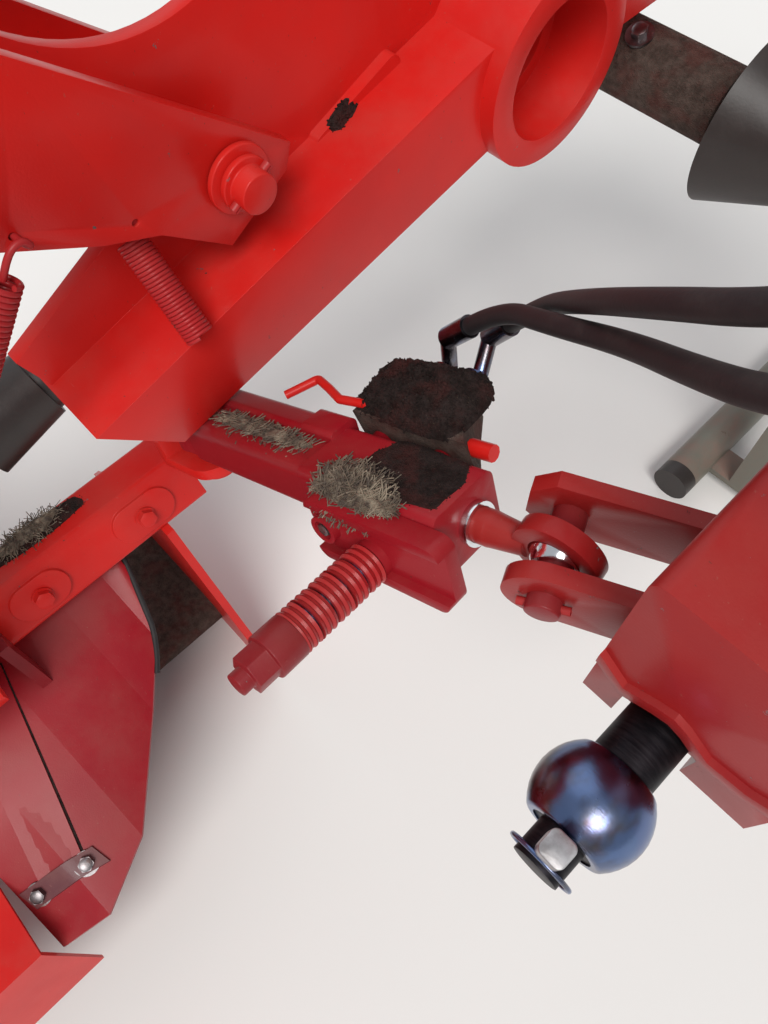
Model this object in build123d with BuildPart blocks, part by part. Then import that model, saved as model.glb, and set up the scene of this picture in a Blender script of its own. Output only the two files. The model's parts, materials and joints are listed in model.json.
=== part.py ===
from build123d import *
import os
from math import cos, hypot, radians, sin, tan

# A rear three-point mounted disc mower, parked on its stand and its cutterbar.
# Millimetres. +X is the direction of travel, +Y is left, +Z is up, and z = 0 is the ground.
# Sizes below are measured from the lower-link pins' axis (x = 0) and the machine's centre plane (y = 0).
# The finished pieces are moved together at the end, so that the origin is under the middle of the machine.

# Hitch
hitch_width = 1010
hitch_height = 740
hitch_pin_radius = 18.3
hitch_ball_radius = 32
hitch_ball_width = 45
hitch_tail_radius = 13.5
hitch_pin_tail = 20
pin_depth = 60
top_link_height = 610
top_link_pin_radius = 15.9
top_link_gap = 56
linchpin_head = 15
linchpin_offset = 10
ball_rim_round = 3

# Headstock
beam_half_length = hitch_width / 2 - 65
beam_front = 64
beam_rear = -44
beam_bottom = hitch_height - 28
beam_top = hitch_height + 140
cap_thickness = 15
beam_round = 8
border_width = 11
border_high = hitch_height + 44
border_low = hitch_height + 29
border_lift = 4
end_plate_reach = 12
mast_plate = 14
mast_foot_half = 300
mast_foot_length = 100
mast_top_x = 40
pin_hole_clearance = 0.3

# Arm pivot, on the left of the headstock
pivot_x = -250
pivot_y = beam_half_length - 60
pivot_plate = 16
pivot_plate_radius = 52
pivot_pin_radius = 20
pivot_pin_head = 30
knuckle_radius = 44
knuckle_gap = 5
fit = 0.05
seat = 0.3

# Strut clevis, on the right of the headstock's rear face
eye_x = -100
eye_y = 25 - beam_half_length
eye_z = hitch_height + 10
ear_turn = 26
ear_thickness = 11
ear_radius = 26
ear_chamfer = 14
ear_gap = 46
ear_shift = -4
clevis_pin_radius = 10.5
clevis_pin_outer = 39
clevis_pin_inner = 43

# Break-away strut, in its own frame: u runs rearward from the eye, s outboard, n up. Its body is rolled about u.
strut_turn = 10
strut_dip = 24
body_roll = 12
eye_radius = 28
eye_thickness = 12
eye_ball_radius = 17
eye_ball_width = 20
neck_radius = 9
neck_length = 20
shank_radius = 12
shank_length = 60
rod_radius = 11
rod_length = 300
housing_start = 62
housing_end = 188
housing_inner = -25
housing_outer = 34
housing_low = -22
housing_high = 26
housing_round = 7
barrel_end = 372
barrel_half_width = 27
barrel_low = -24
barrel_high = 22
barrel_round = 12
barrel_bore = 11.5
pad_end = 335
pad_inner = -26
pad_outer = -4
pad_high = 28
knuckle_high = 18
strut_pin_radius = 15
strut_ear_radius = 26
strut_ear_thickness = 10
strut_ear_low = -38
strut_ear_high = 28
lever_start = 46
lever_end = 165
lever_low = -30
lever_high = 22
lever_face = 51
lever_recess = 6
lever_flange = 8
lever_bolt_u = 153
lever_bolt_n = -3
stack_u = 112
stack_n = -14
stack_rod_radius = 7.8
washer_radius = 15.8
washer_thickness = 2.5
washers_in_group = 5
washer_groups = 5
group_gap = 1.9
end_sleeve_length = 21
end_sleeve_radius = 15.8
nut_flat = 24
nut_length = 16
stack_rod_tail = 8

# Valve block beside the strut's housing, in a frame of the same directions from its own corner
valve_corner = (eye_x - 2, eye_y - 9, eye_z)
valve_outline = ((84, -46), (188, -46), (184, -80), (176, -102), (122, -102), (104, -72))
valve_face = -102
valve_top = 24
valve_depth = 18
valve_boss_places = (110, 168)
valve_boss_radius = 9
valve_boss_reach = 45.7
lever_rod_radius = 3.5
lever_rod_path = ((158, -54), (203, -50), (221, -57), (239, -63), (256, -40))

# Hoses
hose_radius = 6.7
ferrule_radius = 8.5
ferrule_length = 28
fitting_radius = 6
nut_radius = 11
nut_reach = 16
coupler_radius = 13
coupler_tip_radius = 9
rack_thickness = 8

# Arm
arm_front = -395
arm_width = 100
arm_outer_y = eye_y - 89
arm_end_lean = 55
arm_knee_y = 0
arm_inner_y = pivot_y - 60
arm_outer_low = hitch_height - 100
arm_outer_high = hitch_height - 33
arm_inner_low = hitch_height - 2
arm_inner_high = hitch_height + 92
boss_y = -88
boss_z = hitch_height + 14
boss_radius = 80
boss_hole = 57
boss_recess = 44
boss_plate = 15
lift_pin_y = eye_y + 29
lift_pin_z = hitch_height + 74
lift_pin_radius = 14
lift_flange_radius = 24
lift_washer_radius = 19
gusset_front = -458
gusset_thickness = 12
gusset_cut_z = lift_pin_z + 210
gusset_cut_radius = 130
gusset_rib = ((lift_pin_y + 101, lift_pin_z - 51), (lift_pin_y + 175, lift_pin_z - 26))
gusset_rib_width = 16
gusset_rib_thickness = 11

# Gearbox on the arm and its drive shaft
drive_y = 118
drive_z = hitch_height - 100
gearbox_x = -610
gearbox_size = 130
gearbox_round = 12
bracket_offset = 41
bracket_thickness = 12
input_tube_radius = 38
input_tube_front = -316
shaft_front = 330
shaft_tube_radius = 36
guard_cone_radius = 84
guard_cone_length = 118
guard_cone_wall = 4
yoke_radius = 34
spline_radius = 17.5
spline_length = 60

# Cross drive link, from the gearbox to the cutterbar
link_inner_y = 0
link_outer_y = -672
link_outer_z = 545
link_tube_radius = 36
link_inner_tube_radius = 31
link_cone_radius = 44
link_cone_length = 80
link_cone_start = 32
link_yoke_radius = 24
link_lug_radius = 18
link_pin_radius = 8
link_cone_back = 40
link_stub_radius = 24
link_stub_length = 25

# Lift frame, of two like plates beside the arm
frame_plate = 12
frame_front = -425
frame_rear = -560
frame_foot_y = lift_pin_y - 514
saddle_length = 140
hook_y = lift_pin_y - 144
hook_z = lift_pin_z + 48
long_spring_x = -398
long_spring_radius = 11
long_spring_start = (lift_pin_y - 162, lift_pin_z + 42)
long_spring_end = (lift_pin_y - 248, lift_pin_z - 50)
short_spring_start = (-438, lift_pin_y - 76, lift_pin_z - 16)
short_spring_end = (-385, lift_pin_y - 75, lift_pin_z - 74)
short_spring_radius = 13
short_hook_y = lift_pin_y - 76
short_hook_z = lift_pin_z + 12
hook_wire = 2.2

# Lift cylinder
cylinder_y = arm_inner_y + 10
cylinder_z = arm_inner_high + 73
cylinder_eye_y = lift_pin_y - 174
cylinder_eye_z = lift_pin_z + 171
cylinder_radius = 30
cylinder_length = 500
cylinder_rod_radius = 17
cylinder_rod_start = 405
cylinder_pin_radius = 12.5
cylinder_x = -510

# Cutterbar
disc_count = 6
disc_pitch = 400
first_disc_y = -800
disc_x = -610
bed_width = 190
bed_height = 52
bed_bottom = 36
bed_inner_y = -550
bed_outer_y = -3050
disc_long = 180
disc_short = 148
disc_z = 112
disc_height = 14
dome_radius = 92
dome_height = 46
knife_reach = 225
knife_width = 42
knife_thickness = 4
skid_width = 150
skid_thickness = 8
bevel_top = 610
bevel_width = 150
bevel_depth = 114
carrier_front = -488
carrier_ridge = -519
carrier_rear = -560
carrier_pads = ((-518, -592), (-654, -719))
carrier_pad_width = 42
carrier_pad_thickness = 5
carrier_bottom = 400
carrier_top = 460
carrier_inner_y = -485
carrier_outer_y = -3050
shoe_thickness = 10

# Guards
guard_front = -255
guard_z = 300
guard_apron = 140
guard_sheet = 4
guard_seam_y = -905
guard_outer_y = -2960
guard_hinge_x = -470
canopy_inner_y = -915
canopy_rear = -1180
canopy_z = 480
canopy_drop = 200
outer_guard_y = -3160
panel_bracket_y = -740
panel_back_x = -525
panel_back_z = 380
panel_edge = (
    (-605, -500, 372),
    (-632, -431, 320),
    (-685, -374, 300),
    (-774, -281, 280),
    (-845, -245, 270),
    (-903, -258, 252),
)
hinge_places = (-1000, -1600, -2200, -2800)
hinge_height = 13
hinge_radius = 10
hinge_pin_radius = 5
hinge_width = 12
outer_hinge_y = -2960
outer_hinge_z = 480
outer_hinge_places = (-556, -508)
outer_hinge_block = 16

# Swath board
board_x = -1222
board_y = -2860
board_length = 520
board_height = 300
board_thickness = 6
board_top = 390
board_post_radius = 14
hub_top = 438
hub_height = 40

# Stand
stand_x = -96
stand_y = 215
stand_leg = 50
stand_guide = 62
foot_radius = 30
foot_x = -185
foot_inner_y = 148
foot_length = 360
foot_cap_length = 26
stand_travel = 260

pieces = {}


def keep(name, shape):
    """Files a finished piece under its name."""
    shape.label = name
    pieces[name] = shape


def carrier_face_at(z):
    """Place in x of the carrier beam's sloping front face at a height z."""
    return carrier_front - (z - carrier_bottom) * (carrier_front - carrier_ridge) / (carrier_top - carrier_bottom)


# Headstock beam: a box section with a wider cap on each end, the strut's clevis ears and the arm's pivot plates
beam_height = beam_top - beam_bottom
beam_depth = beam_front - beam_rear
beam_mid_x = (beam_front + beam_rear) / 2
beam_mid_z = (beam_top + beam_bottom) / 2
eye = Vector(eye_x, eye_y, eye_z)
clevis_axis = Vector(cos(radians(90 - ear_turn)), -sin(radians(90 - ear_turn)), 0)
ear_reach = 130
end_plate_edge = hitch_pin_radius + 5
border_places = (
    (beam_rear, border_high),
    (beam_rear + 18, border_low),
    (-9, border_high - 4),
    (0, border_high),
    (8, border_high - 3),
    (24, border_low),
    (44, border_low + 3),
    (beam_front, border_high),
)

with BuildPart() as headstock_beam:
    with BuildSketch(Plane.XZ.offset(-beam_half_length)):
        with Locations((beam_mid_x, beam_mid_z)):
            RectangleRounded(beam_depth, beam_height, beam_round)
    extrude(amount=2 * beam_half_length)
    for side in (-1, 1):
        with BuildSketch(Plane.XZ.offset(-side * (beam_half_length - 1))):
            with BuildLine():
                Polyline(
                    (beam_rear, border_high),
                    (beam_rear, beam_top),
                    (beam_front, beam_top),
                    (beam_front, border_high),
                )
                Polyline(*border_places[::-1])
            make_face()
            fillet(vertices().group_by(Axis.Y)[-1], beam_round)
        extrude(amount=-side * (cap_thickness + 1))
        with BuildSketch(Plane.XZ.offset(-side * (beam_half_length - 1))):
            with BuildLine():
                Polyline(
                    *[(x, z + border_width / 2) for x, z in border_places],
                    *[(x, z - border_width / 2) for x, z in border_places[::-1]],
                    close=True,
                )
            make_face()
        extrude(amount=-side * (cap_thickness + border_lift + 1))
        with BuildSketch(Plane.XZ.offset(-side * (beam_half_length - 1))):
            for left, right in ((beam_rear, -end_plate_edge), (end_plate_edge, beam_front)):
                with Locations(((left + right) / 2, (beam_bottom + border_low) / 2 + 2)):
                    Rectangle(right - left, border_low - beam_bottom - 4)
        extrude(amount=-side * (end_plate_reach + 1))
    with BuildSketch(Plane.XZ.offset(-hitch_width)):
        with Locations((0, hitch_height)):
            Circle(hitch_pin_radius + pin_hole_clearance)
    extrude(amount=2 * hitch_width, mode=Mode.SUBTRACT)
    for height in (beam_bottom, beam_top - pivot_plate):
        with BuildSketch(Plane.XY.offset(height)):
            with BuildLine():
                Polyline(
                    (beam_rear + 2, pivot_y + 66),
                    (pivot_x, pivot_y + pivot_plate_radius),
                )
                ThreePointArc(
                    (pivot_x, pivot_y + pivot_plate_radius),
                    (pivot_x - pivot_plate_radius, pivot_y),
                    (pivot_x, pivot_y - pivot_plate_radius),
                )
                Polyline(
                    (pivot_x, pivot_y - pivot_plate_radius),
                    (beam_rear + 2, pivot_y - 110),
                    (beam_rear + 2, pivot_y + 66),
                )
            make_face()
        extrude(amount=pivot_plate)
    with BuildSketch(Plane.XY):
        with Locations((pivot_x, pivot_y)):
            Circle(pivot_pin_radius + fit)
    extrude(amount=beam_top + pivot_plate, mode=Mode.SUBTRACT)

with BuildPart() as ears:
    for side in (-1, 1):
        face = Plane(
            origin=eye + clevis_axis * (ear_shift + side * ear_gap / 2),
            x_dir=(cos(radians(ear_turn)), sin(radians(ear_turn)), 0),
            z_dir=clevis_axis * side,
        )
        with BuildSketch(face):
            if side > 0:
                Circle(ear_radius)
            else:
                with BuildLine():
                    Polyline(
                        (0, -ear_radius),
                        (-ear_radius + ear_chamfer, -ear_radius),
                        (-ear_radius, -ear_radius + ear_chamfer),
                        (-ear_radius, ear_radius - ear_chamfer),
                        (-ear_radius + ear_chamfer, ear_radius),
                        (0, ear_radius),
                        close=True,
                    )
                make_face()
            with Locations((ear_reach / 2, 0)):
                Rectangle(ear_reach, 2 * ear_radius)
            Circle(clevis_pin_radius + fit, mode=Mode.SUBTRACT)
        extrude(amount=ear_thickness)
    with BuildSketch(Plane.XY.offset(beam_bottom - ear_radius)):
        with Locations((beam_rear + ear_reach, eye_y)):
            Rectangle(2 * ear_reach, 4 * ear_reach)
    extrude(amount=beam_height, mode=Mode.SUBTRACT)

# Mast: two leaning legs on each side, joined by the top-link bracket
mast_top_z = hitch_height + top_link_height
mast_half_gap = top_link_gap / 2
with BuildPart() as mast:
    for side in (-1, 1):
        with BuildSketch(Plane.YZ.offset(beam_mid_x - mast_foot_length / 2)):
            with BuildLine():
                Polyline(
                    (side * (mast_foot_half - 34), beam_top),
                    (side * (mast_foot_half + 34), beam_top),
                    (side * (mast_half_gap + mast_plate), mast_top_z - 60),
                    (side * (mast_half_gap + mast_plate), mast_top_z + 40),
                    (side * mast_half_gap, mast_top_z + 40),
                    (side * mast_half_gap, mast_top_z - 110),
                    close=True,
                )
            make_face()
        extrude(amount=mast_plate)
        with BuildSketch(Plane.XZ.offset(-side * mast_half_gap)):
            with BuildLine():
                Polyline(
                    (beam_mid_x - mast_foot_length / 2, mast_top_z - 150),
                    (beam_mid_x - mast_foot_length / 2, mast_top_z + 40),
                    (mast_top_x, mast_top_z + 34),
                    (mast_top_x + 34, mast_top_z),
                    (mast_top_x + 20, mast_top_z - 50),
                    close=True,
                )
            make_face()
            with Locations((mast_top_x, mast_top_z)):
                Circle(top_link_pin_radius + pin_hole_clearance, mode=Mode.SUBTRACT)
        extrude(amount=-side * mast_plate)
    with BuildSketch(Plane.XY.offset(mast_top_z - 150)):
        with Locations((beam_mid_x - mast_foot_length / 2 + mast_plate, 0)):
            Rectangle(mast_plate, top_link_gap + 2)
    extrude(amount=100)
keep("mast", mast.part)

with BuildPart() as top_link_pin:
    with BuildSketch(Plane.XZ.offset(-(mast_half_gap + mast_plate + 26))):
        with Locations((mast_top_x, mast_top_z)):
            Circle(top_link_pin_radius)
    extrude(amount=2 * (mast_half_gap + mast_plate + 26))
    with BuildSketch(Plane.XZ.offset(mast_half_gap + mast_plate + 1)):
        with Locations((mast_top_x, mast_top_z)):
            Circle(top_link_pin_radius + 8)
    extrude(amount=7)
keep("top_link_pin", top_link_pin.part)

# Lower-link pins, each with its sleeve, ball and linchpin
ball_y = hitch_width / 2
ball_inner_y = ball_y - hitch_ball_width / 2
ball_outer_y = ball_y + hitch_ball_width / 2
hitch_pins = []
hitch_balls = []
linchpins = []
for side in (-1, 1):
    with BuildPart() as hitch_pin:
        with BuildSketch(Plane.XZ.offset(-side * (beam_half_length - pin_depth))):
            with Locations((0, hitch_height)):
                Circle(hitch_pin_radius)
        extrude(amount=-side * (ball_outer_y - 1 - beam_half_length + pin_depth))
        with BuildSketch(Plane.XZ.offset(-side * (ball_outer_y - 2))):
            with Locations((0, hitch_height)):
                Circle(hitch_tail_radius)
        extrude(amount=-side * (hitch_pin_tail + 2))
        with BuildSketch(Plane.XY.offset(hitch_height - 40)):
            with Locations((0, side * (ball_outer_y + linchpin_offset))):
                Circle(6)
        extrude(amount=80, mode=Mode.SUBTRACT)
    hitch_pins.append(hitch_pin.part)

    with BuildPart() as ball:
        with BuildSketch(Plane.XY.offset(hitch_height)):
            Circle(hitch_ball_radius)
            with Locations((0, hitch_ball_width)):
                Rectangle(100, hitch_ball_width, mode=Mode.SUBTRACT)
            with Locations((0, -hitch_ball_width)):
                Rectangle(100, hitch_ball_width, mode=Mode.SUBTRACT)
            with Locations((-50, 0)):
                Rectangle(100, 100, mode=Mode.SUBTRACT)
            with Locations(((hitch_pin_radius + fit) / 2, 0)):
                Rectangle(hitch_pin_radius + fit, 100, mode=Mode.SUBTRACT)
        revolve(axis=Axis((0, 0, hitch_height), (0, 1, 0)))
        rims = ball.edges().filter_by(lambda e: e.geom_type == GeomType.CIRCLE and e.radius > hitch_pin_radius + 2)
        fillet(rims, ball_rim_round)
    hitch_balls.append(Pos(0, side * ball_y, 0) * ball.part)

    with BuildPart() as linchpin:
        with BuildSketch(Plane.XY.offset(hitch_height - 34)):
            with Locations((0, side * (ball_outer_y + linchpin_offset))):
                Circle(5.5)
        extrude(amount=34 + 30)
        with BuildSketch(Plane.XY.offset(hitch_height + 20)):
            with Locations((0, side * (ball_outer_y + linchpin_offset))):
                RectangleRounded(linchpin_head, linchpin_head, 4)
        extrude(amount=14)
    linchpins.append(linchpin.part)
keep("hitch_pins", hitch_pins[0] + hitch_pins[1])
keep("hitch_balls", hitch_balls[0] + hitch_balls[1])
keep("linchpins", linchpins[0] + linchpins[1])

with BuildPart() as clevis_pin:
    with BuildSketch(Plane(origin=eye - clevis_axis * clevis_pin_inner, z_dir=clevis_axis)):
        Circle(clevis_pin_radius)
    extrude(amount=clevis_pin_inner + clevis_pin_outer)
keep("clevis_pin", clevis_pin.part)

with BuildPart() as pivot_pin:
    with BuildSketch(Plane.XY.offset(beam_bottom - 22)):
        with Locations((pivot_x, pivot_y)):
            Circle(pivot_pin_radius)
    extrude(amount=beam_height + 22)
    with BuildSketch(Plane.XY.offset(beam_top + seat)):
        with Locations((pivot_x, pivot_y)):
            Circle(pivot_pin_head)
    extrude(amount=14)
    with BuildSketch(Plane.XY.offset(beam_top - 1)):
        with Locations((pivot_x, pivot_y)):
            Circle(pivot_pin_radius)
    extrude(amount=2)
keep("arm_pivot_pin", pivot_pin.part)

# Parking stand: a square leg in a guide on the headstock, with a foot tube across
with BuildPart() as stand_guide_tube:
    with BuildSketch(Plane.XY.offset(beam_bottom)):
        with Locations((stand_x, stand_y)):
            Rectangle(stand_guide, stand_guide)
            Rectangle(stand_leg + 2 * seat, stand_leg + 2 * seat, mode=Mode.SUBTRACT)
        with Locations(((beam_rear + stand_x - stand_guide / 2) / 2 + stand_guide / 2, stand_y)):
            Rectangle(beam_rear - stand_x - stand_guide / 2, stand_guide)
    extrude(amount=beam_height)
keep("headstock_beam", headstock_beam.part + ears.part + stand_guide_tube.part)

with BuildPart() as stand:
    with BuildSketch(Plane.XY.offset(foot_radius)):
        with Locations((stand_x, stand_y)):
            Rectangle(stand_leg, stand_leg)
    extrude(amount=beam_top + 40 - foot_radius)
    with BuildSketch(Plane.XZ.offset(-(foot_inner_y))):
        with Locations((foot_x, foot_radius)):
            Circle(foot_radius)
    extrude(amount=-foot_length)
    with BuildSketch(Plane.XY.offset(foot_radius - 6)):
        with Locations(((stand_x + foot_x) / 2, stand_y)):
            Rectangle(stand_x - foot_x + stand_leg, stand_leg)
    extrude(amount=12)
keep("stand_leg", stand.part)

with BuildPart() as foot_caps:
    for start in (foot_inner_y - foot_cap_length - 0.2, foot_inner_y + foot_length + 0.2):
        with BuildSketch(Plane.XZ.offset(-start)):
            with Locations((foot_x, foot_radius)):
                Circle(foot_radius)
        extrude(amount=-foot_cap_length)
keep("stand_caps", foot_caps.part)

# Arm: a box beam that slopes down outboard, a round boss through it, its knuckle and the lift pivot's lugs
arm_rear = arm_front - arm_width
knuckle_bottom = beam_bottom + pivot_plate + knuckle_gap
knuckle_top = beam_top - pivot_plate - knuckle_gap
with BuildPart() as arm_beam:
    with BuildSketch(Plane.YZ.offset(arm_rear)):
        with BuildLine():
            Polyline(
                (arm_outer_y, arm_outer_low),
                (arm_knee_y, arm_inner_low),
                (arm_inner_y, arm_inner_low),
                (arm_inner_y, arm_inner_high),
                (arm_knee_y, arm_inner_high),
                (arm_outer_y - arm_end_lean, arm_outer_high),
                close=True,
            )
        make_face()
    extrude(amount=arm_width)
    with BuildSketch(Plane.YZ.offset(arm_rear - 6)):
        with Locations((boss_y, boss_z)):
            Circle(boss_radius)
    extrude(amount=arm_width + 6 + boss_plate)
    with BuildSketch(Plane.YZ.offset(arm_front - 40)):
        with Locations((boss_y, boss_z)):
            Circle(boss_hole)
    extrude(amount=100, mode=Mode.SUBTRACT)
    with BuildSketch(Plane.YZ.offset(arm_front - 80)):
        with Locations((boss_y, boss_z)):
            Circle(boss_recess)
    extrude(amount=60, mode=Mode.SUBTRACT)
    with BuildSketch(Plane.YZ.offset(gusset_front - gusset_thickness)):
        with BuildLine():
            Polyline(
                (arm_outer_y - 51, arm_outer_high - 3),
                (arm_outer_y - 63, arm_outer_high + 37),
                (arm_outer_y + 31, arm_outer_high + 78),
                (arm_outer_y + 9, lift_pin_z + 140),
                (arm_outer_y + 29, lift_pin_z + 172),
                (lift_pin_y + 112, lift_pin_z + 150),
                (lift_pin_y + 150, lift_pin_z + 110),
                (arm_knee_y, arm_inner_high + 10),
                (arm_knee_y, arm_inner_high - 10),
                (arm_outer_y, arm_outer_high - 20),
                close=True,
            )
        make_face()
        with Locations((lift_pin_y, gusset_cut_z)):
            Circle(gusset_cut_radius, mode=Mode.SUBTRACT)
    extrude(amount=gusset_thickness)
    with BuildSketch(Plane.YZ.offset(gusset_front - 1)):
        SlotCenterPoint(
            ((gusset_rib[0][0] + gusset_rib[1][0]) / 2, (gusset_rib[0][1] + gusset_rib[1][1]) / 2),
            gusset_rib[1],
            gusset_rib_width,
        )
    extrude(amount=gusset_rib_thickness)
    with BuildSketch(Plane.XY.offset(knuckle_bottom + 10)):
        with BuildLine():
            Polyline(
                (arm_rear, arm_inner_y - 90),
                (arm_front, arm_inner_y - 90),
                (pivot_x - 8, pivot_y - knuckle_radius),
                (pivot_x - 8, pivot_y + knuckle_radius),
                (arm_front - 30, arm_inner_y + 60),
                (arm_rear, arm_inner_y),
                close=True,
            )
        make_face()
    extrude(amount=knuckle_top - knuckle_bottom - 20)
    with BuildSketch(Plane.XY.offset(knuckle_bottom)):
        with Locations((pivot_x, pivot_y)):
            Circle(knuckle_radius)
    extrude(amount=knuckle_top - knuckle_bottom)
    with BuildSketch(Plane.XY):
        with Locations((pivot_x, pivot_y)):
            Circle(pivot_pin_radius + fit)
    extrude(amount=beam_top, mode=Mode.SUBTRACT)
    with BuildSketch(Plane.YZ.offset(arm_rear - 200)):
        with Locations((lift_pin_y, lift_pin_z)):
            Circle(lift_pin_radius + fit)
    extrude(amount=arm_width + 400, mode=Mode.SUBTRACT)
    with BuildSketch(Plane.YZ.offset(cylinder_x - 30)):
        with Locations((cylinder_y, arm_inner_high + 2)):
            Rectangle(60, 80)
    extrude(amount=60)
    for start in (cylinder_x - 30, cylinder_x + 18):
        with BuildSketch(Plane.YZ.offset(start)):
            with Locations((cylinder_y, cylinder_z)):
                Circle(30)
            with Locations((cylinder_y, (cylinder_z + arm_inner_high) / 2)):
                Rectangle(60, cylinder_z - arm_inner_high)
            with Locations((cylinder_y, cylinder_z)):
                Circle(cylinder_pin_radius + fit, mode=Mode.SUBTRACT)
        extrude(amount=12)

with BuildPart() as lift_pin:
    with BuildSketch(Plane.YZ.offset(frame_rear - 14)):
        with Locations((lift_pin_y, lift_pin_z)):
            Circle(lift_pin_radius)
    extrude(amount=frame_front + frame_plate + 26 - frame_rear + 14)
    for start, radius in ((1, lift_flange_radius), (8, lift_washer_radius)):
        with BuildSketch(Plane.YZ.offset(frame_front + frame_plate + start)):
            with Locations((lift_pin_y, lift_pin_z)):
                Circle(radius)
        extrude(amount=5)
keep("lift_pin", lift_pin.part)

# Gearbox under and behind the arm, with a tube forward for its input shaft
with BuildPart() as gearbox:
    with BuildSketch(Plane.XY.offset(drive_z - gearbox_size / 2)):
        with Locations((gearbox_x, drive_y)):
            RectangleRounded(gearbox_size, gearbox_size, gearbox_round)
    extrude(amount=gearbox_size)
    with BuildSketch(Plane.YZ.offset(gearbox_x)):
        with Locations((drive_y, drive_z)):
            Circle(input_tube_radius)
    extrude(amount=input_tube_front - gearbox_x)
    with BuildSketch(Plane.XZ.offset(-drive_y)):
        with Locations((gearbox_x, drive_z)):
            Circle(44)
    extrude(amount=drive_y - link_inner_y - 28)
    for side in (-1, 1):
        with BuildSketch(Plane.YZ.offset(gearbox_x + side * (link_yoke_radius + 1.5))):
            with Locations((link_inner_y, drive_z)):
                Circle(link_lug_radius)
            with Locations((link_inner_y + 16, drive_z)):
                Rectangle(32, 2 * link_lug_radius)
        extrude(amount=side * 8)
    with BuildSketch(Plane.YZ.offset(gearbox_x - link_yoke_radius - 5)):
        with Locations((link_inner_y, drive_z)):
            Circle(link_pin_radius)
    extrude(amount=2 * link_yoke_radius + 10)
keep("gearbox", gearbox.part)

with BuildPart() as gearbox_brackets:
    for y in (drive_y - bracket_offset - bracket_thickness, drive_y + bracket_offset):
        with BuildSketch(Plane.XZ.offset(-y)):
            with BuildLine():
                Polyline(
                    (gearbox_x + gearbox_size / 2 + seat, drive_z - 30),
                    (gearbox_x + gearbox_size / 2 + seat, drive_z + 60),
                    (arm_rear - 16, arm_inner_high - 6),
                    (arm_rear + 2, arm_inner_high - 6),
                    (arm_rear + 2, arm_inner_low + 4),
                    close=True,
                )
            make_face()
        extrude(amount=-bracket_thickness)

# Drive shaft: tube, a guard cone at each end and the front yoke
with BuildPart() as drive_shaft:
    with BuildSketch(Plane.YZ.offset(input_tube_front + seat)):
        with Locations((drive_y, drive_z)):
            Circle(22)
    extrude(amount=shaft_front - 40 - input_tube_front - seat)
    with BuildSketch(Plane.YZ.offset(shaft_front - 60)):
        with Locations((drive_y, drive_z)):
            Circle(yoke_radius)
    extrude(amount=60 + spline_length)
    with BuildSketch(Plane.YZ.offset(shaft_front)):
        with Locations((drive_y, drive_z)):
            Circle(spline_radius)
    extrude(amount=spline_length, mode=Mode.SUBTRACT)
keep("drive_shaft", drive_shaft.part)

with BuildPart() as shaft_guard:
    with BuildSketch(Plane.XZ.offset(-drive_y)):
        rear = input_tube_front + 18
        front = shaft_front + 10
        with BuildLine():
            Polyline(
                (rear, drive_z + guard_cone_radius),
                (rear + guard_cone_length, drive_z + shaft_tube_radius),
                (front - guard_cone_length, drive_z + shaft_tube_radius),
                (front, drive_z + guard_cone_radius - 12),
                (front, drive_z + guard_cone_radius - 12 - guard_cone_wall),
                (front - guard_cone_length + 4, drive_z + shaft_tube_radius - guard_cone_wall),
                (front - guard_cone_length + 4, drive_z + 22.3),
                (front - guard_cone_length - 20, drive_z + 22.3),
                (front - guard_cone_length - 20, drive_z + shaft_tube_radius - guard_cone_wall),
                (rear + guard_cone_length + 20, drive_z + shaft_tube_radius - guard_cone_wall),
                (rear + guard_cone_length + 20, drive_z + 22.3),
                (rear + guard_cone_length - 4, drive_z + 22.3),
                (rear + guard_cone_length - 4, drive_z + shaft_tube_radius - guard_cone_wall),
                (rear, drive_z + guard_cone_radius - guard_cone_wall),
                close=True,
            )
        make_face()
    revolve(axis=Axis((0, drive_y, drive_z), (1, 0, 0)))
keep("shaft_guard", shaft_guard.part)

# Break-away strut
turn = radians(strut_turn)
dip = radians(strut_dip)
strut_u = Vector(-cos(turn) * cos(dip), -sin(turn) * cos(dip), -sin(dip))
strut_s = Vector(sin(turn), -cos(turn), 0)
strut_n = strut_u.cross(strut_s)
roll = radians(body_roll)
body_n = strut_n * cos(roll) - strut_s * sin(roll)
strut_place = Location(Plane(origin=eye, x_dir=strut_u, z_dir=strut_n))
body_place = Location(Plane(origin=eye, x_dir=strut_u, z_dir=body_n))
valve_place = Location(Plane(origin=valve_corner, x_dir=strut_u, z_dir=strut_n))
strut_pin_point = eye + strut_u * barrel_end

with BuildPart() as strut_rod:
    with BuildSketch(Plane.YZ.offset(eye_radius - 8)):
        Circle(neck_radius)
    with BuildSketch(Plane.YZ.offset(eye_radius + neck_length)):
        Circle(shank_radius)
    loft()
    with BuildSketch(Plane.YZ.offset(eye_radius + neck_length - 1)):
        Circle(shank_radius)
    extrude(amount=shank_length - eye_radius - neck_length + 1)
    with BuildSketch(Plane.YZ.offset(shank_length - 1)):
        Circle(rod_radius)
    extrude(amount=rod_length - shank_length + 1)
rod_shaft = strut_rod.part
eye_plane = Plane(origin=eye - strut_s * (eye_thickness / 2), z_dir=strut_s)
with BuildPart() as rod_eye:
    with BuildSketch(eye_plane):
        Circle(eye_radius)
        Circle(eye_ball_radius + seat, mode=Mode.SUBTRACT)
    extrude(amount=eye_thickness)
keep("strut_rod", strut_place * rod_shaft + rod_eye.part)

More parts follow.
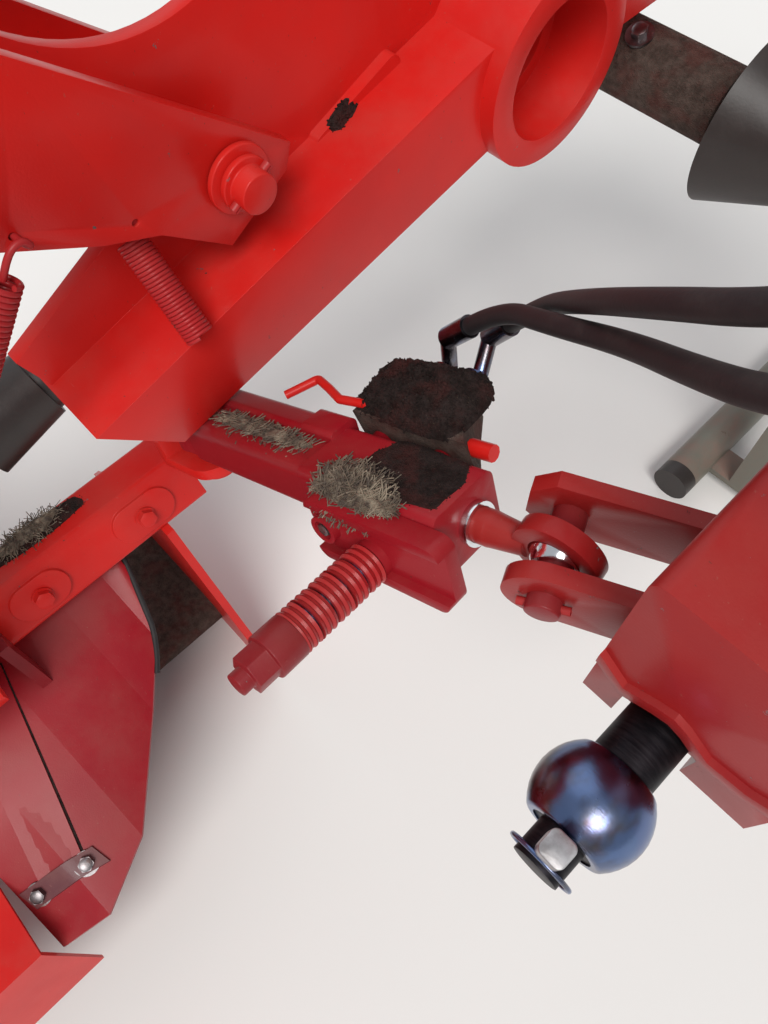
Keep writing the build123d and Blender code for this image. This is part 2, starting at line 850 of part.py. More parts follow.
# The ball in the eye sits on the clevis pin
with BuildPart() as eye_ball:
    Sphere(eye_ball_radius)
    for side in (-1, 1):
        with BuildSketch(Plane.XY.offset(side * eye_ball_width / 2)):
            Circle(2 * eye_ball_radius)
        extrude(amount=side * eye_ball_radius, mode=Mode.SUBTRACT)
    with BuildSketch(Plane.XY.offset(-eye_ball_radius)):
        Circle(clevis_pin_radius + fit)
    extrude(amount=2 * eye_ball_radius, mode=Mode.SUBTRACT)
keep("strut_eye_ball", Location(Plane(origin=eye, z_dir=clevis_axis)) * eye_ball.part)

with BuildPart() as strut_body:
    with BuildSketch(Plane.YZ.offset(housing_start)):
        with Locations(((housing_inner + housing_outer) / 2, (housing_low + housing_high) / 2)):
            RectangleRounded(housing_outer - housing_inner, housing_high - housing_low, housing_round)
    extrude(amount=housing_end - housing_start)
    with BuildSketch(Plane.YZ.offset(housing_end - 1)):
        with Locations((0, (barrel_low + barrel_high) / 2)):
            RectangleRounded(2 * barrel_half_width, barrel_high - barrel_low, barrel_round)
    extrude(amount=barrel_end - barrel_half_width - housing_end + 1)
    with BuildSketch(Plane.YZ.offset(housing_end - 1)):
        with Locations(((pad_inner + pad_outer) / 2, pad_high / 2)):
            RectangleRounded(pad_outer - pad_inner, pad_high, 5)
    extrude(amount=pad_end - housing_end + 1)
    with BuildSketch(Plane.YZ.offset(housing_end - 1)):
        with Locations(((pad_inner + pad_outer) / 2 - 1, pad_high / 2 + 3)):
            RectangleRounded(pad_outer - pad_inner + 4, pad_high, 5)
    extrude(amount=34)
    with BuildSketch(Plane.XY.offset(-knuckle_high)):
        with Locations((barrel_end, 0)):
            Circle(barrel_half_width - 3)
        with Locations((barrel_end - barrel_half_width / 2 - 2, 0)):
            Rectangle(barrel_half_width + 4, 2 * barrel_half_width - 8)
    extrude(amount=2 * knuckle_high)
    with BuildSketch(Plane.YZ.offset(housing_start - 1)):
        Circle(barrel_bore)
    extrude(amount=rod_length + 20 - housing_start, mode=Mode.SUBTRACT)
    with BuildSketch(Plane.XY.offset(-knuckle_high - 10)):
        with Locations((barrel_end, 0)):
            Circle(strut_pin_radius + fit)
    extrude(amount=2 * knuckle_high + 20, mode=Mode.SUBTRACT)
with BuildPart() as valve_bosses:
    with BuildSketch(Plane.XZ.offset(24)):
        with Locations(*[(place, 0) for place in valve_boss_places]):
            Circle(valve_boss_radius)
    extrude(amount=valve_boss_reach - 24)
keep("strut_housing", body_place * strut_body.part + valve_place * valve_bosses.part)

# Clamp lever plate on the housing's outboard side, and the disc-spring stack that presses on it
lever_back = housing_outer + seat
lever_u = (lever_start + lever_end) / 2
lever_n = (lever_low + lever_high) / 2
with BuildPart() as lever:
    with BuildSketch(Plane.XZ.offset(-lever_back)):
        with Locations((lever_u, lever_n)):
            RectangleRounded(lever_end - lever_start, lever_high - lever_low, 9)
    extrude(amount=-(lever_face - lever_back))
    with BuildSketch(Plane.XZ.offset(-(lever_face - lever_recess))):
        with Locations((lever_u, lever_n)):
            Rectangle(lever_end - lever_start + 2, lever_high - lever_low - 2 * lever_flange)
    extrude(amount=-lever_recess - 1, mode=Mode.SUBTRACT)
    with BuildSketch(Plane.XZ.offset(-(lever_face - lever_recess - 1))):
        with Locations((stack_u, stack_n)):
            Circle(washer_radius - 1.5)
        with Locations((lever_bolt_u, lever_bolt_n)):
            Circle(11)
    extrude(amount=-lever_recess - 1)
    with BuildSketch(Plane.XZ.offset(-lever_back)):
        with Locations((stack_u, stack_n)):
            Circle(stack_rod_radius + 0.6)
    extrude(amount=-(lever_face - lever_back), mode=Mode.SUBTRACT)
    with BuildSketch(Plane.XZ.offset(-(lever_face - 9))):
        with Locations((lever_bolt_u, lever_bolt_n)):
            Circle(7.5)
    extrude(amount=-9, mode=Mode.SUBTRACT)
keep("clamp_lever", body_place * lever.part)

stack_start = lever_face + seat
group_length = washers_in_group * washer_thickness
stack_length = washer_groups * group_length + (washer_groups - 1) * group_gap
with BuildPart() as stack:
    for group in range(washer_groups):
        for washer in range(washers_in_group):
            start = stack_start + group * (group_length + group_gap) + washer * washer_thickness
            with BuildSketch(Plane.XZ.offset(-start)):
                with Locations((stack_u, stack_n)):
                    Circle(washer_radius)
                    Circle(stack_rod_radius + 0.6, mode=Mode.SUBTRACT)
            extrude(amount=-(washer_thickness + 0.01), taper=14)
    for group in range(washer_groups - 1):
        start = stack_start + (group + 1) * (group_length + group_gap) - group_gap
        with BuildSketch(Plane.XZ.offset(-start)):
            with Locations((stack_u, stack_n)):
                Circle(stack_rod_radius + 4.5)
                Circle(stack_rod_radius + 0.6, mode=Mode.SUBTRACT)
        extrude(amount=-group_gap)
keep("spring_stack", body_place * stack.part)

stack_end = stack_start + stack_length
with BuildPart() as stack_rod:
    with BuildSketch(Plane.XZ.offset(-lever_back)):
        with Locations((stack_u, stack_n)):
            Circle(stack_rod_radius)
    extrude(amount=-(stack_end + end_sleeve_length + nut_length + stack_rod_tail - lever_back))
    with BuildSketch(Plane.XZ.offset(-(stack_end + seat))):
        with Locations((stack_u, stack_n)):
            Circle(end_sleeve_radius)
    extrude(amount=-end_sleeve_length)
    with BuildSketch(Plane.XZ.offset(-(stack_end + seat + end_sleeve_length - 0.5))):
        with Locations((stack_u, stack_n)):
            RegularPolygon(nut_flat / 2, 6, major_radius=False)
    extrude(amount=-nut_length)
keep("stack_rod", body_place * stack_rod.part)

# Valve block on the housing's inboard side, with the release lever on top and two hose fittings
with BuildPart() as valve_block:
    with BuildSketch(Plane.XY.offset(-valve_depth)):
        with BuildLine():
            Polyline(*valve_outline, close=True)
        make_face()
    extrude(amount=valve_top + valve_depth)
keep("valve_block", valve_place * valve_block.part)

with BuildPart() as release_lever:
    with BuildLine() as lever_line:
        FilletPolyline(
            *[(u, s, valve_top + lever_rod_radius + seat) for u, s in lever_rod_path],
            radius=4,
        )
    with BuildSketch(lever_line.line ^ 0):
        Circle(lever_rod_radius)
    sweep()
keep("release_lever", valve_place * release_lever.part)


def cone_between(start, end, radius):
    """A round bar between two points."""
    run = end - start
    with BuildPart() as bar:
        with BuildSketch(Plane(origin=start, z_dir=run)):
            Circle(radius)
        extrude(amount=run.length)
    return bar.part


# Hoses: their routes from the fittings over the headstock to the couplers, as chosen points from the eye
hose_a_offsets = (
    (-140, 115, -14),
    (-117, 118, 22),
    (-68, 81, 92),
    (-13, 42, 164),
    (28, 23, 208),
    (74, 19, 253),
    (138, 29, 252),
    (182, 37, 203),
    (182, 37, 139),
)
hose_b_offsets = (
    (-158, 93, -12),
    (-136, 99, 18),
    (-84, 79, 62),
    (-30, 63, 105),
    (16, 29, 157),
    (49, 1, 201),
    (96, -9, 246),
    (160, -11, 246),
    (205, -11, 201),
    (205, -11, 139),
)
hose_a_route = [eye + Vector(*offset) for offset in hose_a_offsets]
hose_b_route = [eye + Vector(*offset) for offset in hose_b_offsets]
fitting_solids = []
coupler_solids = []
for label, route, nut_u in (("a", hose_a_route, 133), ("b", hose_b_route, 162)):
    points = route
    radii = []
    with BuildPart() as hose:
        with BuildLine() as hose_line:
            corner = None
            previous = points[0]
            for k in range(1, len(points) - 1):
                before = (points[k] - points[k - 1])
                after = (points[k + 1] - points[k])
                half_turn = radians(before.get_angle(after) / 2)
                shorter = min(before.length, after.length)
                radius = 0.45 * shorter / tan(half_turn)
                reach = 0.45 * shorter
                arc_start = points[k] - before.normalized() * reach
                arc_end = points[k] + after.normalized() * reach
                Line(previous, arc_start)
                middle = points[k] + (after.normalized() - before.normalized()).normalized() * (
                    radius / cos(half_turn) - radius
                )
                ThreePointArc(arc_start, middle, arc_end)
                previous = arc_end
                radii.append(round(radius))
            Line(previous, points[-1])
        with BuildSketch(Plane(origin=points[0], z_dir=points[1] - points[0])):
            Circle(hose_radius)
        sweep()
    run_length = sum(edge.length for edge in hose_line.line.edges())
    print("hose", label, "radii", radii, "length", round(run_length, 1), "volume", round(hose.part.volume))
    keep(f"hose_{label}", hose.part)
    nut_start = Vector(*valve_corner) + strut_u * nut_u + strut_s * (valve_face - seat) + strut_n * 2
    nut_end = nut_start - strut_s * nut_reach
    ferrule_dir = (points[1] - points[0]).normalized()
    ferrule_start = points[0] - ferrule_dir * ferrule_length
    elbow = nut_end - strut_s * 6
    fitting = cone_between(nut_start, nut_end, nut_radius) + cone_between(nut_end, elbow, fitting_radius)
    fitting = fitting + cone_between(elbow, ferrule_start, fitting_radius) + Pos(*elbow) * Sphere(fitting_radius)
    fitting = fitting + cone_between(ferrule_start, points[0], ferrule_radius)
    fitting_solids.append(fitting)
    end = points[-1]
    coupler = cone_between(end - Vector(0, 0, 58), end, coupler_radius)
    coupler_solids.append(coupler + cone_between(end - Vector(0, 0, 84), end - Vector(0, 0, 57), coupler_tip_radius))
keep("hose_fittings", fitting_solids[0] + fitting_solids[1])
keep("hose_couplers", coupler_solids[0] + coupler_solids[1])

rack_top = hose_b_route[-1].Z - 58 - seat
with BuildPart() as hose_rack:
    with BuildSketch(Plane.XY.offset(rack_top - rack_thickness)):
        with BuildLine():
            Polyline(
                (beam_front - 2, hose_b_route[-1].Y + 84),
                (beam_front - 2, hose_b_route[-1].Y - 8),
                (hose_b_route[-1].X + 2, hose_b_route[-1].Y - 22),
                (hose_b_route[-1].X + 24, hose_b_route[-1].Y - 12),
                (hose_a_route[-1].X + 30, hose_a_route[-1].Y + 20),
                close=True,
            )
        make_face()
        for route in (hose_a_route, hose_b_route):
            with Locations((route[-1].X, route[-1].Y)):
                Circle(coupler_tip_radius + 0.4, mode=Mode.SUBTRACT)
    extrude(amount=rack_thickness)
pieces["headstock_beam"] = pieces["headstock_beam"] + hose_rack.part
pieces["headstock_beam"].label = "headstock_beam"
# Clevis on the arm's underside for the strut's rear end: an ear above and below, joined behind the knuckle
strut_web = barrel_end + barrel_half_width + 16
with BuildPart() as strut_bracket:
    for side, face in ((-1, strut_ear_low), (1, strut_ear_high)):
        with BuildSketch(Plane.XY.offset(face)):
            with Locations((barrel_end, 0)):
                Circle(strut_ear_radius)
            with Locations(((barrel_end + strut_web + strut_ear_thickness) / 2, 0)):
                Rectangle(strut_web + strut_ear_thickness - barrel_end, 2 * strut_ear_radius)
        extrude(amount=side * strut_ear_thickness)
        with BuildSketch(Plane.XY.offset(face + side * (strut_ear_thickness - 1))):
            with Locations((barrel_end, 0)):
                Circle(strut_pin_radius)
        extrude(amount=side * 9)
    with BuildSketch(Plane.YZ.offset(strut_web)):
        with Locations((0, (strut_ear_high + strut_ear_low) / 2)):
            Rectangle(2 * strut_ear_radius, strut_ear_high - strut_ear_low + 2 * strut_ear_thickness)
    extrude(amount=strut_ear_thickness)
    with BuildSketch(Plane.XY.offset(strut_ear_high + strut_ear_thickness - 1)):
        with Locations((barrel_end + 14, 0)):
            Rectangle(50, 2 * strut_ear_radius - 6)
    extrude(amount=34)
strut_bracket_solid = body_place * strut_bracket.part
keep("arm_beam", arm_beam.part + gearbox_brackets.part + strut_bracket_solid)

with BuildPart() as strut_pin:
    with BuildSketch(Plane.XY.offset(-knuckle_high - 2)):
        with Locations((barrel_end, 0)):
            Circle(strut_pin_radius)
    extrude(amount=2 * knuckle_high + 4)
keep("strut_pin", body_place * strut_pin.part)

saddle_bottom = carrier_top + seat
saddle_thickness = 12

# Lift frame: two like plates that rise outboard from the pivot and come down on the carrier beam
frame_outline = (
    (lift_pin_y + 47, lift_pin_z - 1),
    (lift_pin_y - 104, lift_pin_z + 131),
    (lift_pin_y - 200, lift_pin_z + 215),
    (lift_pin_y - 350, lift_pin_z + 225),
    (lift_pin_y - 480, lift_pin_z + 120),
    (lift_pin_y - 520, lift_pin_z - 60),
    (frame_foot_y, saddle_bottom + saddle_thickness),
    (frame_foot_y + saddle_length - 10, saddle_bottom + saddle_thickness),
    (lift_pin_y - 390, lift_pin_z - 80),
    (lift_pin_y - 340, lift_pin_z + 70),
    (lift_pin_y - 260, lift_pin_z + 100),
    (lift_pin_y - 155, lift_pin_z + 44),
    (lift_pin_y - 100, lift_pin_z + 10),
    (lift_pin_y - 63, lift_pin_z - 7),
    (lift_pin_y - 17, lift_pin_z - 48),
    (lift_pin_y + 40, lift_pin_z - 19),
)
frame_gap = frame_front - frame_rear - frame_plate
with BuildPart() as lift_frame:
    for start in (frame_front, frame_rear):
        with BuildSketch(Plane.YZ.offset(start)):
            with BuildLine():
                Polyline(*frame_outline, close=True)
            make_face()
            with Locations((lift_pin_y, lift_pin_z)):
                Circle(lift_pin_radius + fit, mode=Mode.SUBTRACT)
        extrude(amount=frame_plate)
    for place in ((lift_pin_y - 400, lift_pin_z + 150), (lift_pin_y - 445, lift_pin_z - 20)):
        with BuildSketch(Plane.YZ.offset(frame_rear + frame_plate)):
            with Locations(place):
                Circle(24)
        extrude(amount=frame_gap)
    with BuildSketch(Plane.XY.offset(saddle_bottom)):
        with Locations(((frame_rear + frame_front + frame_plate) / 2, frame_foot_y + saddle_length / 2)):
            Rectangle(frame_front + frame_plate - frame_rear, saddle_length)
    extrude(amount=saddle_thickness)
    with BuildSketch(Plane.YZ.offset(frame_front)):
        with Locations((hook_y, hook_z), (short_hook_y, short_hook_z)):
            Circle(hook_wire + seat)
    extrude(amount=frame_plate, mode=Mode.SUBTRACT)
keep("lift_frame", lift_frame.part)

# Two tension springs at the front plate: a long one hooked in the plate's hole and a short one under its edge


def spring_between(start, end, radius, wire):
    """A closed-coil spring as a turned body, one ridge to each coil."""
    run = end - start
    coils = max(4, round(run.length / wire))
    step = run.length / coils
    with BuildPart() as body:
        with BuildSketch(Plane.XZ):
            with BuildLine():
                edge = [(0, wire), (0, 0)]
                for coil in range(coils):
                    edge.append((radius - wire / 3, coil * step + 0.02))
                    edge.append((radius, (coil + 0.5) * step))
                edge.append((radius - wire / 3, run.length - 0.02))
                edge.append((radius - wire, run.length))
                edge.append((radius - wire, wire))
                Polyline(*edge, close=True)
            make_face()
        revolve(axis=Axis.Z)
    return Location(Plane(origin=start, z_dir=run)) * body.part


hook_point = Vector(frame_front + frame_plate / 2, hook_y, hook_z)
long_start = Vector(long_spring_x, *long_spring_start)
long_end = Vector(long_spring_x, *long_spring_end)
long_dir = (long_end - long_start).normalized()
long_spring = spring_between(long_start, long_end, long_spring_radius, 3.6)
with BuildPart() as hook:
    with BuildLine() as hook_line:
        FilletPolyline(
            long_start + long_dir * 2,
            long_start - long_dir * 10,
            Vector(long_spring_x, hook_y, hook_z),
            hook_point - Vector(frame_plate / 2 + 6, 0, 0),
            radius=4,
        )
    with BuildSketch(hook_line.line ^ 0):
        Circle(hook_wire)
    sweep()
short_start = Vector(*short_spring_start)
short_end = Vector(*short_spring_end)
short_dir = (short_end - short_start).normalized()
short_spring = spring_between(short_start, short_end, short_spring_radius, 3)
with BuildPart() as short_hook:
    with BuildLine() as short_line:
        FilletPolyline(
            short_start + short_dir * 2,
            short_start - short_dir * 8,
            Vector(short_start.X - 3, short_hook_y, short_hook_z),
            Vector(frame_front + frame_plate - 1, short_hook_y, short_hook_z),
            radius=3.5,
        )
    with BuildSketch(short_line.line ^ 0):
        Circle(hook_wire)
    sweep()
keep("tension_springs", long_spring + hook.part + short_spring + short_hook.part)

# Lift cylinder
cyl_dy = cylinder_eye_y - cylinder_y
cyl_dz = cylinder_eye_z - cylinder_z
cyl_length = hypot(cyl_dy, cyl_dz)
cyl_dir = Vector(0, cyl_dy / cyl_length, cyl_dz / cyl_length)
cyl_place = Location(Plane(origin=(cylinder_x, cylinder_y, cylinder_z), x_dir=cyl_dir, z_dir=(1, 0, 0)))
with BuildPart() as cylinder:
    with BuildSketch(Plane.XY.offset(-17)):
        Circle(26)
        with Locations((24, 0)):
            Rectangle(48, 36)
        Circle(cylinder_pin_radius + fit, mode=Mode.SUBTRACT)
    extrude(amount=34)
    with BuildSketch(Plane.YZ.offset(44)):
        Circle(cylinder_radius)
    extrude(amount=cylinder_length - 44)
    with BuildSketch(Plane.YZ.offset(54)):
        Circle(cylinder_rod_radius + 0.5)
    extrude(amount=cylinder_length, mode=Mode.SUBTRACT)
keep("lift_cylinder", cyl_place * cylinder.part)

with BuildPart() as cylinder_rod:
    with BuildSketch(Plane.YZ.offset(cylinder_rod_start)):
        Circle(cylinder_rod_radius)
    extrude(amount=cyl_length - 20 - cylinder_rod_start)
    with BuildSketch(Plane.XY.offset(-17)):
        with Locations((cyl_length, 0)):
            Circle(26)
    extrude(amount=34)
    with BuildSketch(Plane.XY.offset(frame_rear + frame_plate + seat - cylinder_x)):
        with Locations((cyl_length, 0)):
            Circle(cylinder_pin_radius)
    extrude(amount=frame_gap - 0.6)
keep("lift_rod", cyl_place * cylinder_rod.part)

with BuildPart() as cylinder_pin:
    with BuildSketch(Plane.YZ.offset(cylinder_x - 36)):
        with Locations((cylinder_y, cylinder_z)):
            Circle(cylinder_pin_radius)
    extrude(amount=72)
keep("cylinder_pin", cylinder_pin.part)

# Cross drive link: a hollow inner half with its cone, and the outer half that slides in it
link_dy = link_outer_y - link_inner_y
link_dz = link_outer_z - drive_z
link_length = hypot(link_dy, link_dz)
link_dir = Vector(0, link_dy / link_length, link_dz / link_length)
link_place = Location(Plane(origin=(gearbox_x, link_inner_y, drive_z), x_dir=link_dir, z_dir=(1, 0, 0)))
with BuildPart() as link_inner:
    with BuildSketch(Plane.YZ.offset(-12)):
        Circle(link_yoke_radius)
    extrude(amount=link_cone_start + 30)
    with BuildSketch(Plane.YZ.offset(link_cone_start)):
        Circle(link_cone_radius)
    with BuildSketch(Plane.YZ.offset(link_cone_start + link_cone_length)):
        Circle(link_tube_radius)
    loft()
    with BuildSketch(Plane.YZ.offset(link_cone_start + link_cone_length)):
        Circle(link_tube_radius)
    extrude(amount=link_length * 0.62 - link_cone_length - link_cone_start)
    with BuildSketch(Plane.YZ.offset(link_cone_start + 50)):
        Circle(link_inner_tube_radius + 0.6)
    extrude(amount=link_length, mode=Mode.SUBTRACT)
    with BuildSketch(Plane.XY.offset(-link_yoke_radius - 1)):
        Circle(link_pin_radius + fit)
    extrude(amount=2 * link_yoke_radius + 2, mode=Mode.SUBTRACT)
keep("cross_shaft_inner", link_place * link_inner.part)

with BuildPart() as link_outer:
    with BuildSketch(Plane.YZ.offset(90)):
        Circle(link_inner_tube_radius)
    extrude(amount=link_length - 90 - link_cone_length - link_cone_back)
    with BuildSketch(Plane.YZ.offset(link_length - link_cone_length - link_cone_back - 1)):
        Circle(link_tube_radius)
    with BuildSketch(Plane.YZ.offset(link_length - link_cone_back)):
        Circle(link_cone_radius)
    loft()
    with BuildSketch(Plane.YZ.offset(link_length - link_cone_back - 1)):
        Circle(link_yoke_radius - 2)
    extrude(amount=link_cone_back + 9)
keep("cross_shaft_outer", link_place * link_outer.part)

# Cutter unit
last_disc_y = first_disc_y - (disc_count - 1) * disc_pitch
bed_mid = (bed_inner_y + bed_outer_y) / 2
bed_length = bed_inner_y - bed_outer_y
with BuildPart() as gear_bed:
    with BuildSketch(Plane.XZ.offset(-bed_inner_y)):
        with Locations((disc_x, bed_bottom + bed_height / 2)):
            SlotOverall(bed_width, bed_height)
    extrude(amount=bed_length)
    with BuildSketch(Plane.XY.offset(bed_bottom + bed_height - 2)):
        with Locations([(disc_x, first_disc_y - k * disc_pitch) for k in range(disc_count)]):
            Circle(56)
    extrude(amount=disc_z - seat - bed_bottom - bed_height + 2)
keep("gear_bed", gear_bed.part)

with BuildPart() as skids:
    for k in range(disc_count):
        with BuildSketch(Plane.XZ.offset(-(first_disc_y - k * disc_pitch + skid_width / 2))):
            with BuildLine():
                Polyline(
                    (disc_x + bed_width / 2 + 20, bed_bottom + 30),
                    (disc_x + bed_width / 2 - 22, 0),
                    (disc_x - bed_width / 2 - 90, 0),
                    (disc_x - bed_width / 2 - 90, skid_thickness),
                    (disc_x + bed_width / 2 - 26, skid_thickness),
                    (disc_x + bed_width / 2 + 12, bed_bottom + 32),
                    close=True,
                )
            make_face()
            with Locations((disc_x - 20, (bed_bottom - seat + skid_thickness - 1) / 2)):
                Rectangle(70, bed_bottom - seat - skid_thickness + 1)
        extrude(amount=skid_width)
keep("skids", skids.part)

bevel_x = carrier_rear - seat - bevel_depth / 2
column_bottom = disc_z + disc_height + dome_height + 12
with BuildPart() as bevel_gearbox:
    with BuildSketch(Plane.XY.offset(column_bottom)):
        with Locations((disc_x, first_disc_y)):
            Circle(49)
    extrude(amount=bevel_top - bevel_width - column_bottom)
    with BuildSketch(Plane.XY.offset(bevel_top - bevel_width)):
        with Locations((bevel_x, first_disc_y)):
            RectangleRounded(bevel_depth, bevel_width, 26)
    extrude(amount=bevel_width)
    with BuildSketch(Plane.XZ.offset(-(first_disc_y + bevel_width / 2 - 1))):
        with Locations((disc_x, link_outer_z)):
            Circle(link_stub_radius)
    extrude(amount=-link_stub_length - 1)
keep("bevel_gearbox", bevel_gearbox.part)

slope_middle = Vector((carrier_front + carrier_ridge) / 2, 0, (carrier_bottom + carrier_top) / 2)
slope_normal = Vector(carrier_top - carrier_bottom, 0, carrier_front - carrier_ridge).normalized()
with BuildPart() as carrier:
    with BuildSketch(Plane.XZ.offset(-carrier_inner_y)):
        with BuildLine():
            Polyline(
                (carrier_rear, carrier_bottom),
                (carrier_rear, carrier_top),
                (carrier_ridge, carrier_top),
                (carrier_front, carrier_bottom),
                close=True,
            )
        make_face()
        fillet(vertices(), 5)
    extrude(amount=carrier_inner_y - carrier_outer_y)
    for start, end in carrier_pads:
        face = Plane(origin=slope_middle + Vector(0, (start + end) / 2, 0), x_dir=(0, 1, 0), z_dir=slope_normal)
        with BuildSketch(face.offset(-1)):
            SlotOverall(start - end, carrier_pad_width)
        extrude(amount=carrier_pad_thickness + 1)
keep("carrier_beam", carrier.part)

# Shoes: upright end plates that tie the gear bed to the carrier beam, each with a runner
shoes = []
for y in (bed_inner_y + shoe_thickness, bed_outer_y):
    with BuildPart() as shoe:
        with BuildSketch(Plane.XZ.offset(-y)):
            with BuildLine():
                Polyline(
                    (disc_x + 210, 40),
                    (disc_x + 160, 0),
                    (disc_x - 260, 0),
                    (disc_x - 280, 30),
                    (carrier_rear - 10, carrier_bottom - seat),
                    (carrier_front + 6, carrier_bottom - seat),
                    close=True,
                )
            make_face()
        extrude(amount=shoe_thickness)
    shoes.append(shoe.part)
keep("end_shoes", shoes[0] + shoes[1])

for k in range(disc_count):
    centre_y = first_disc_y - k * disc_pitch
    quarter = 90 * (k % 2)
    with BuildPart() as disc:
        with BuildSketch(Plane.XY.offset(disc_z)):
            Ellipse(disc_long, disc_short, rotation=quarter)
        extrude(amount=disc_height)
        with BuildSketch(Plane.XY.offset(disc_z + disc_height - 1)):
            Circle(dome_radius)
        extrude(amount=dome_height, taper=30)
        with BuildSketch(Plane.XY.offset(disc_z - knife_thickness)):
            for way in (-1, 1):
                with Locations(Location((0, 0, 0), (0, 0, quarter))):
                    with Locations((way * (knife_reach - 40), 0)):
                        Rectangle(80, knife_width)
        extrude(amount=knife_thickness + 1)
    keep(f"disc_{k + 1}", Pos(disc_x, centre_y, 0) * disc.part)

# Guards: a fixed inner corner panel, a front guard that folds up, a top cover and an outer guard
with BuildPart() as inner_panel:
    for y, edge_x, edge_z in panel_edge:
        with BuildSketch(Plane.XZ.offset(-y)):
            with BuildLine():
                Polyline(
                    (panel_back_x, panel_back_z),
                    (edge_x, edge_z),
                    (edge_x, edge_z + guard_sheet),
                    (panel_back_x, panel_back_z + guard_sheet),
                    close=True,
                )
            make_face()
    loft(ruled=True)
keep("inner_guard_panel", inner_panel.part)

hinge_z = guard_z + guard_sheet + hinge_height
with BuildPart() as front_guard:
    with BuildSketch(Plane.XZ.offset(-(guard_seam_y - 2))):
        with BuildLine():
            Polyline(
                (guard_hinge_x - 12, guard_z + guard_sheet),
                (guard_front, guard_z + guard_sheet),
                (guard_front + 14, guard_z - guard_apron),
                (guard_front + 10, guard_z - guard_apron),
                (guard_front - 4, guard_z),
                (guard_hinge_x - 12, guard_z),
                close=True,
            )
        make_face()
    extrude(amount=guard_seam_y - 2 - guard_outer_y)
    for y in hinge_places:
        for side in (-1, 1):
            with BuildSketch(Plane.XZ.offset(-(y + side * (hinge_width / 2 + 1)))):
                with Locations((guard_hinge_x, hinge_z)):
                    Circle(hinge_radius)
                with Locations((guard_hinge_x, hinge_z - hinge_height / 2)):
                    Rectangle(2 * hinge_radius, hinge_height)
                with Locations((guard_hinge_x, hinge_z)):
                    Circle(hinge_pin_radius + fit, mode=Mode.SUBTRACT)
            extrude(amount=-side * 6)
keep("front_guard", front_guard.part)

with BuildPart() as canopy:
    with BuildSketch(Plane.XZ.offset(-canopy_inner_y)):
        with BuildLine():
            Polyline(
                (carrier_ridge - 4, carrier_top + seat),
                (carrier_rear, carrier_top + seat),
                (canopy_rear, canopy_z - 40),
                (canopy_rear - 20, canopy_z - canopy_drop),
                (canopy_rear - 24, canopy_z - canopy_drop),
                (canopy_rear - 4, canopy_z - 36),
                (carrier_rear, carrier_top + guard_sheet + seat),
                (carrier_ridge - 4, carrier_top + guard_sheet + seat),
                close=True,
            )
        make_face()
    extrude(amount=canopy_inner_y - guard_outer_y)
    with BuildSketch(Plane.XY.offset(hub_top - hub_height)):
        with Locations((board_x, board_y)):
            Circle(board_post_radius + 8)
        with Locations(((board_x + canopy_rear - 8) / 2, board_y)):
            Rectangle(canopy_rear - 8 - board_x, board_post_radius * 2)
        with Locations((board_x, board_y)):
            Circle(board_post_radius + fit, mode=Mode.SUBTRACT)
    extrude(amount=hub_height)
keep("canopy", canopy.part)

panel_near, panel_far = panel_edge[2:4]
panel_share = (panel_bracket_y - hinge_width / 2 - panel_near[0]) / (panel_far[0] - panel_near[0])
panel_edge_x = panel_near[1] + panel_share * (panel_far[1] - panel_near[1])
panel_edge_z = panel_near[2] + panel_share * (panel_far[2] - panel_near[2])
panel_slope = (panel_edge_z - panel_back_z) / (panel_edge_x - panel_back_x)
panel_top = panel_back_z + guard_sheet + 1
with BuildPart() as guard_hinges:
    with BuildSketch(Plane.XZ.offset(-panel_bracket_y)):
        with BuildLine():
            Polyline(
                (carrier_face_at(carrier_bottom + 40) + seat, carrier_bottom + 40),
                (carrier_front + seat, carrier_bottom),
                (guard_hinge_x - 6, panel_top + panel_slope * (guard_hinge_x - 6 - panel_back_x)),
                (guard_hinge_x + 14, panel_top + panel_slope * (guard_hinge_x + 14 - panel_back_x)),
                (carrier_front + 10, carrier_bottom + 30),
                close=True,
            )
        make_face()
    extrude(amount=hinge_width)
    for y in hinge_places:
        with BuildSketch(Plane.XZ.offset(-y - hinge_width / 2)):
            with BuildLine():
                Polyline(
                    (carrier_face_at(carrier_bottom + 40) + seat, carrier_bottom + 40),
                    (carrier_front + seat, carrier_bottom),
                    (guard_hinge_x - hinge_radius + 2, hinge_z),
                    (guard_hinge_x + hinge_radius - 2, hinge_z),
                    (carrier_front + 10, carrier_bottom + 30),
                    close=True,
                )
            make_face()
            with Locations((guard_hinge_x, hinge_z)):
                Circle(hinge_radius)
        extrude(amount=hinge_width)
        with BuildSketch(Plane.XZ.offset(-y - hinge_width / 2 - 9)):
            with Locations((guard_hinge_x, hinge_z)):
                Circle(hinge_pin_radius)
        extrude(amount=hinge_width + 18)
    for start in outer_hinge_places:
        with BuildSketch(Plane.YZ.offset(start)):
            with Locations((outer_hinge_y + 2, (outer_hinge_z + carrier_top + guard_sheet + 2 * seat) / 2 + 5)):
                Rectangle(16, outer_hinge_z - carrier_top - guard_sheet - 2 * seat + 10)
        extrude(amount=outer_hinge_block)
    with BuildSketch(Plane.YZ.offset(min(outer_hinge_places))):
        with Locations((outer_hinge_y, outer_hinge_z)):
            Circle(hinge_pin_radius)
    extrude(amount=max(outer_hinge_places) + outer_hinge_block - min(outer_hinge_places))
keep("guard_brackets", guard_hinges.part)

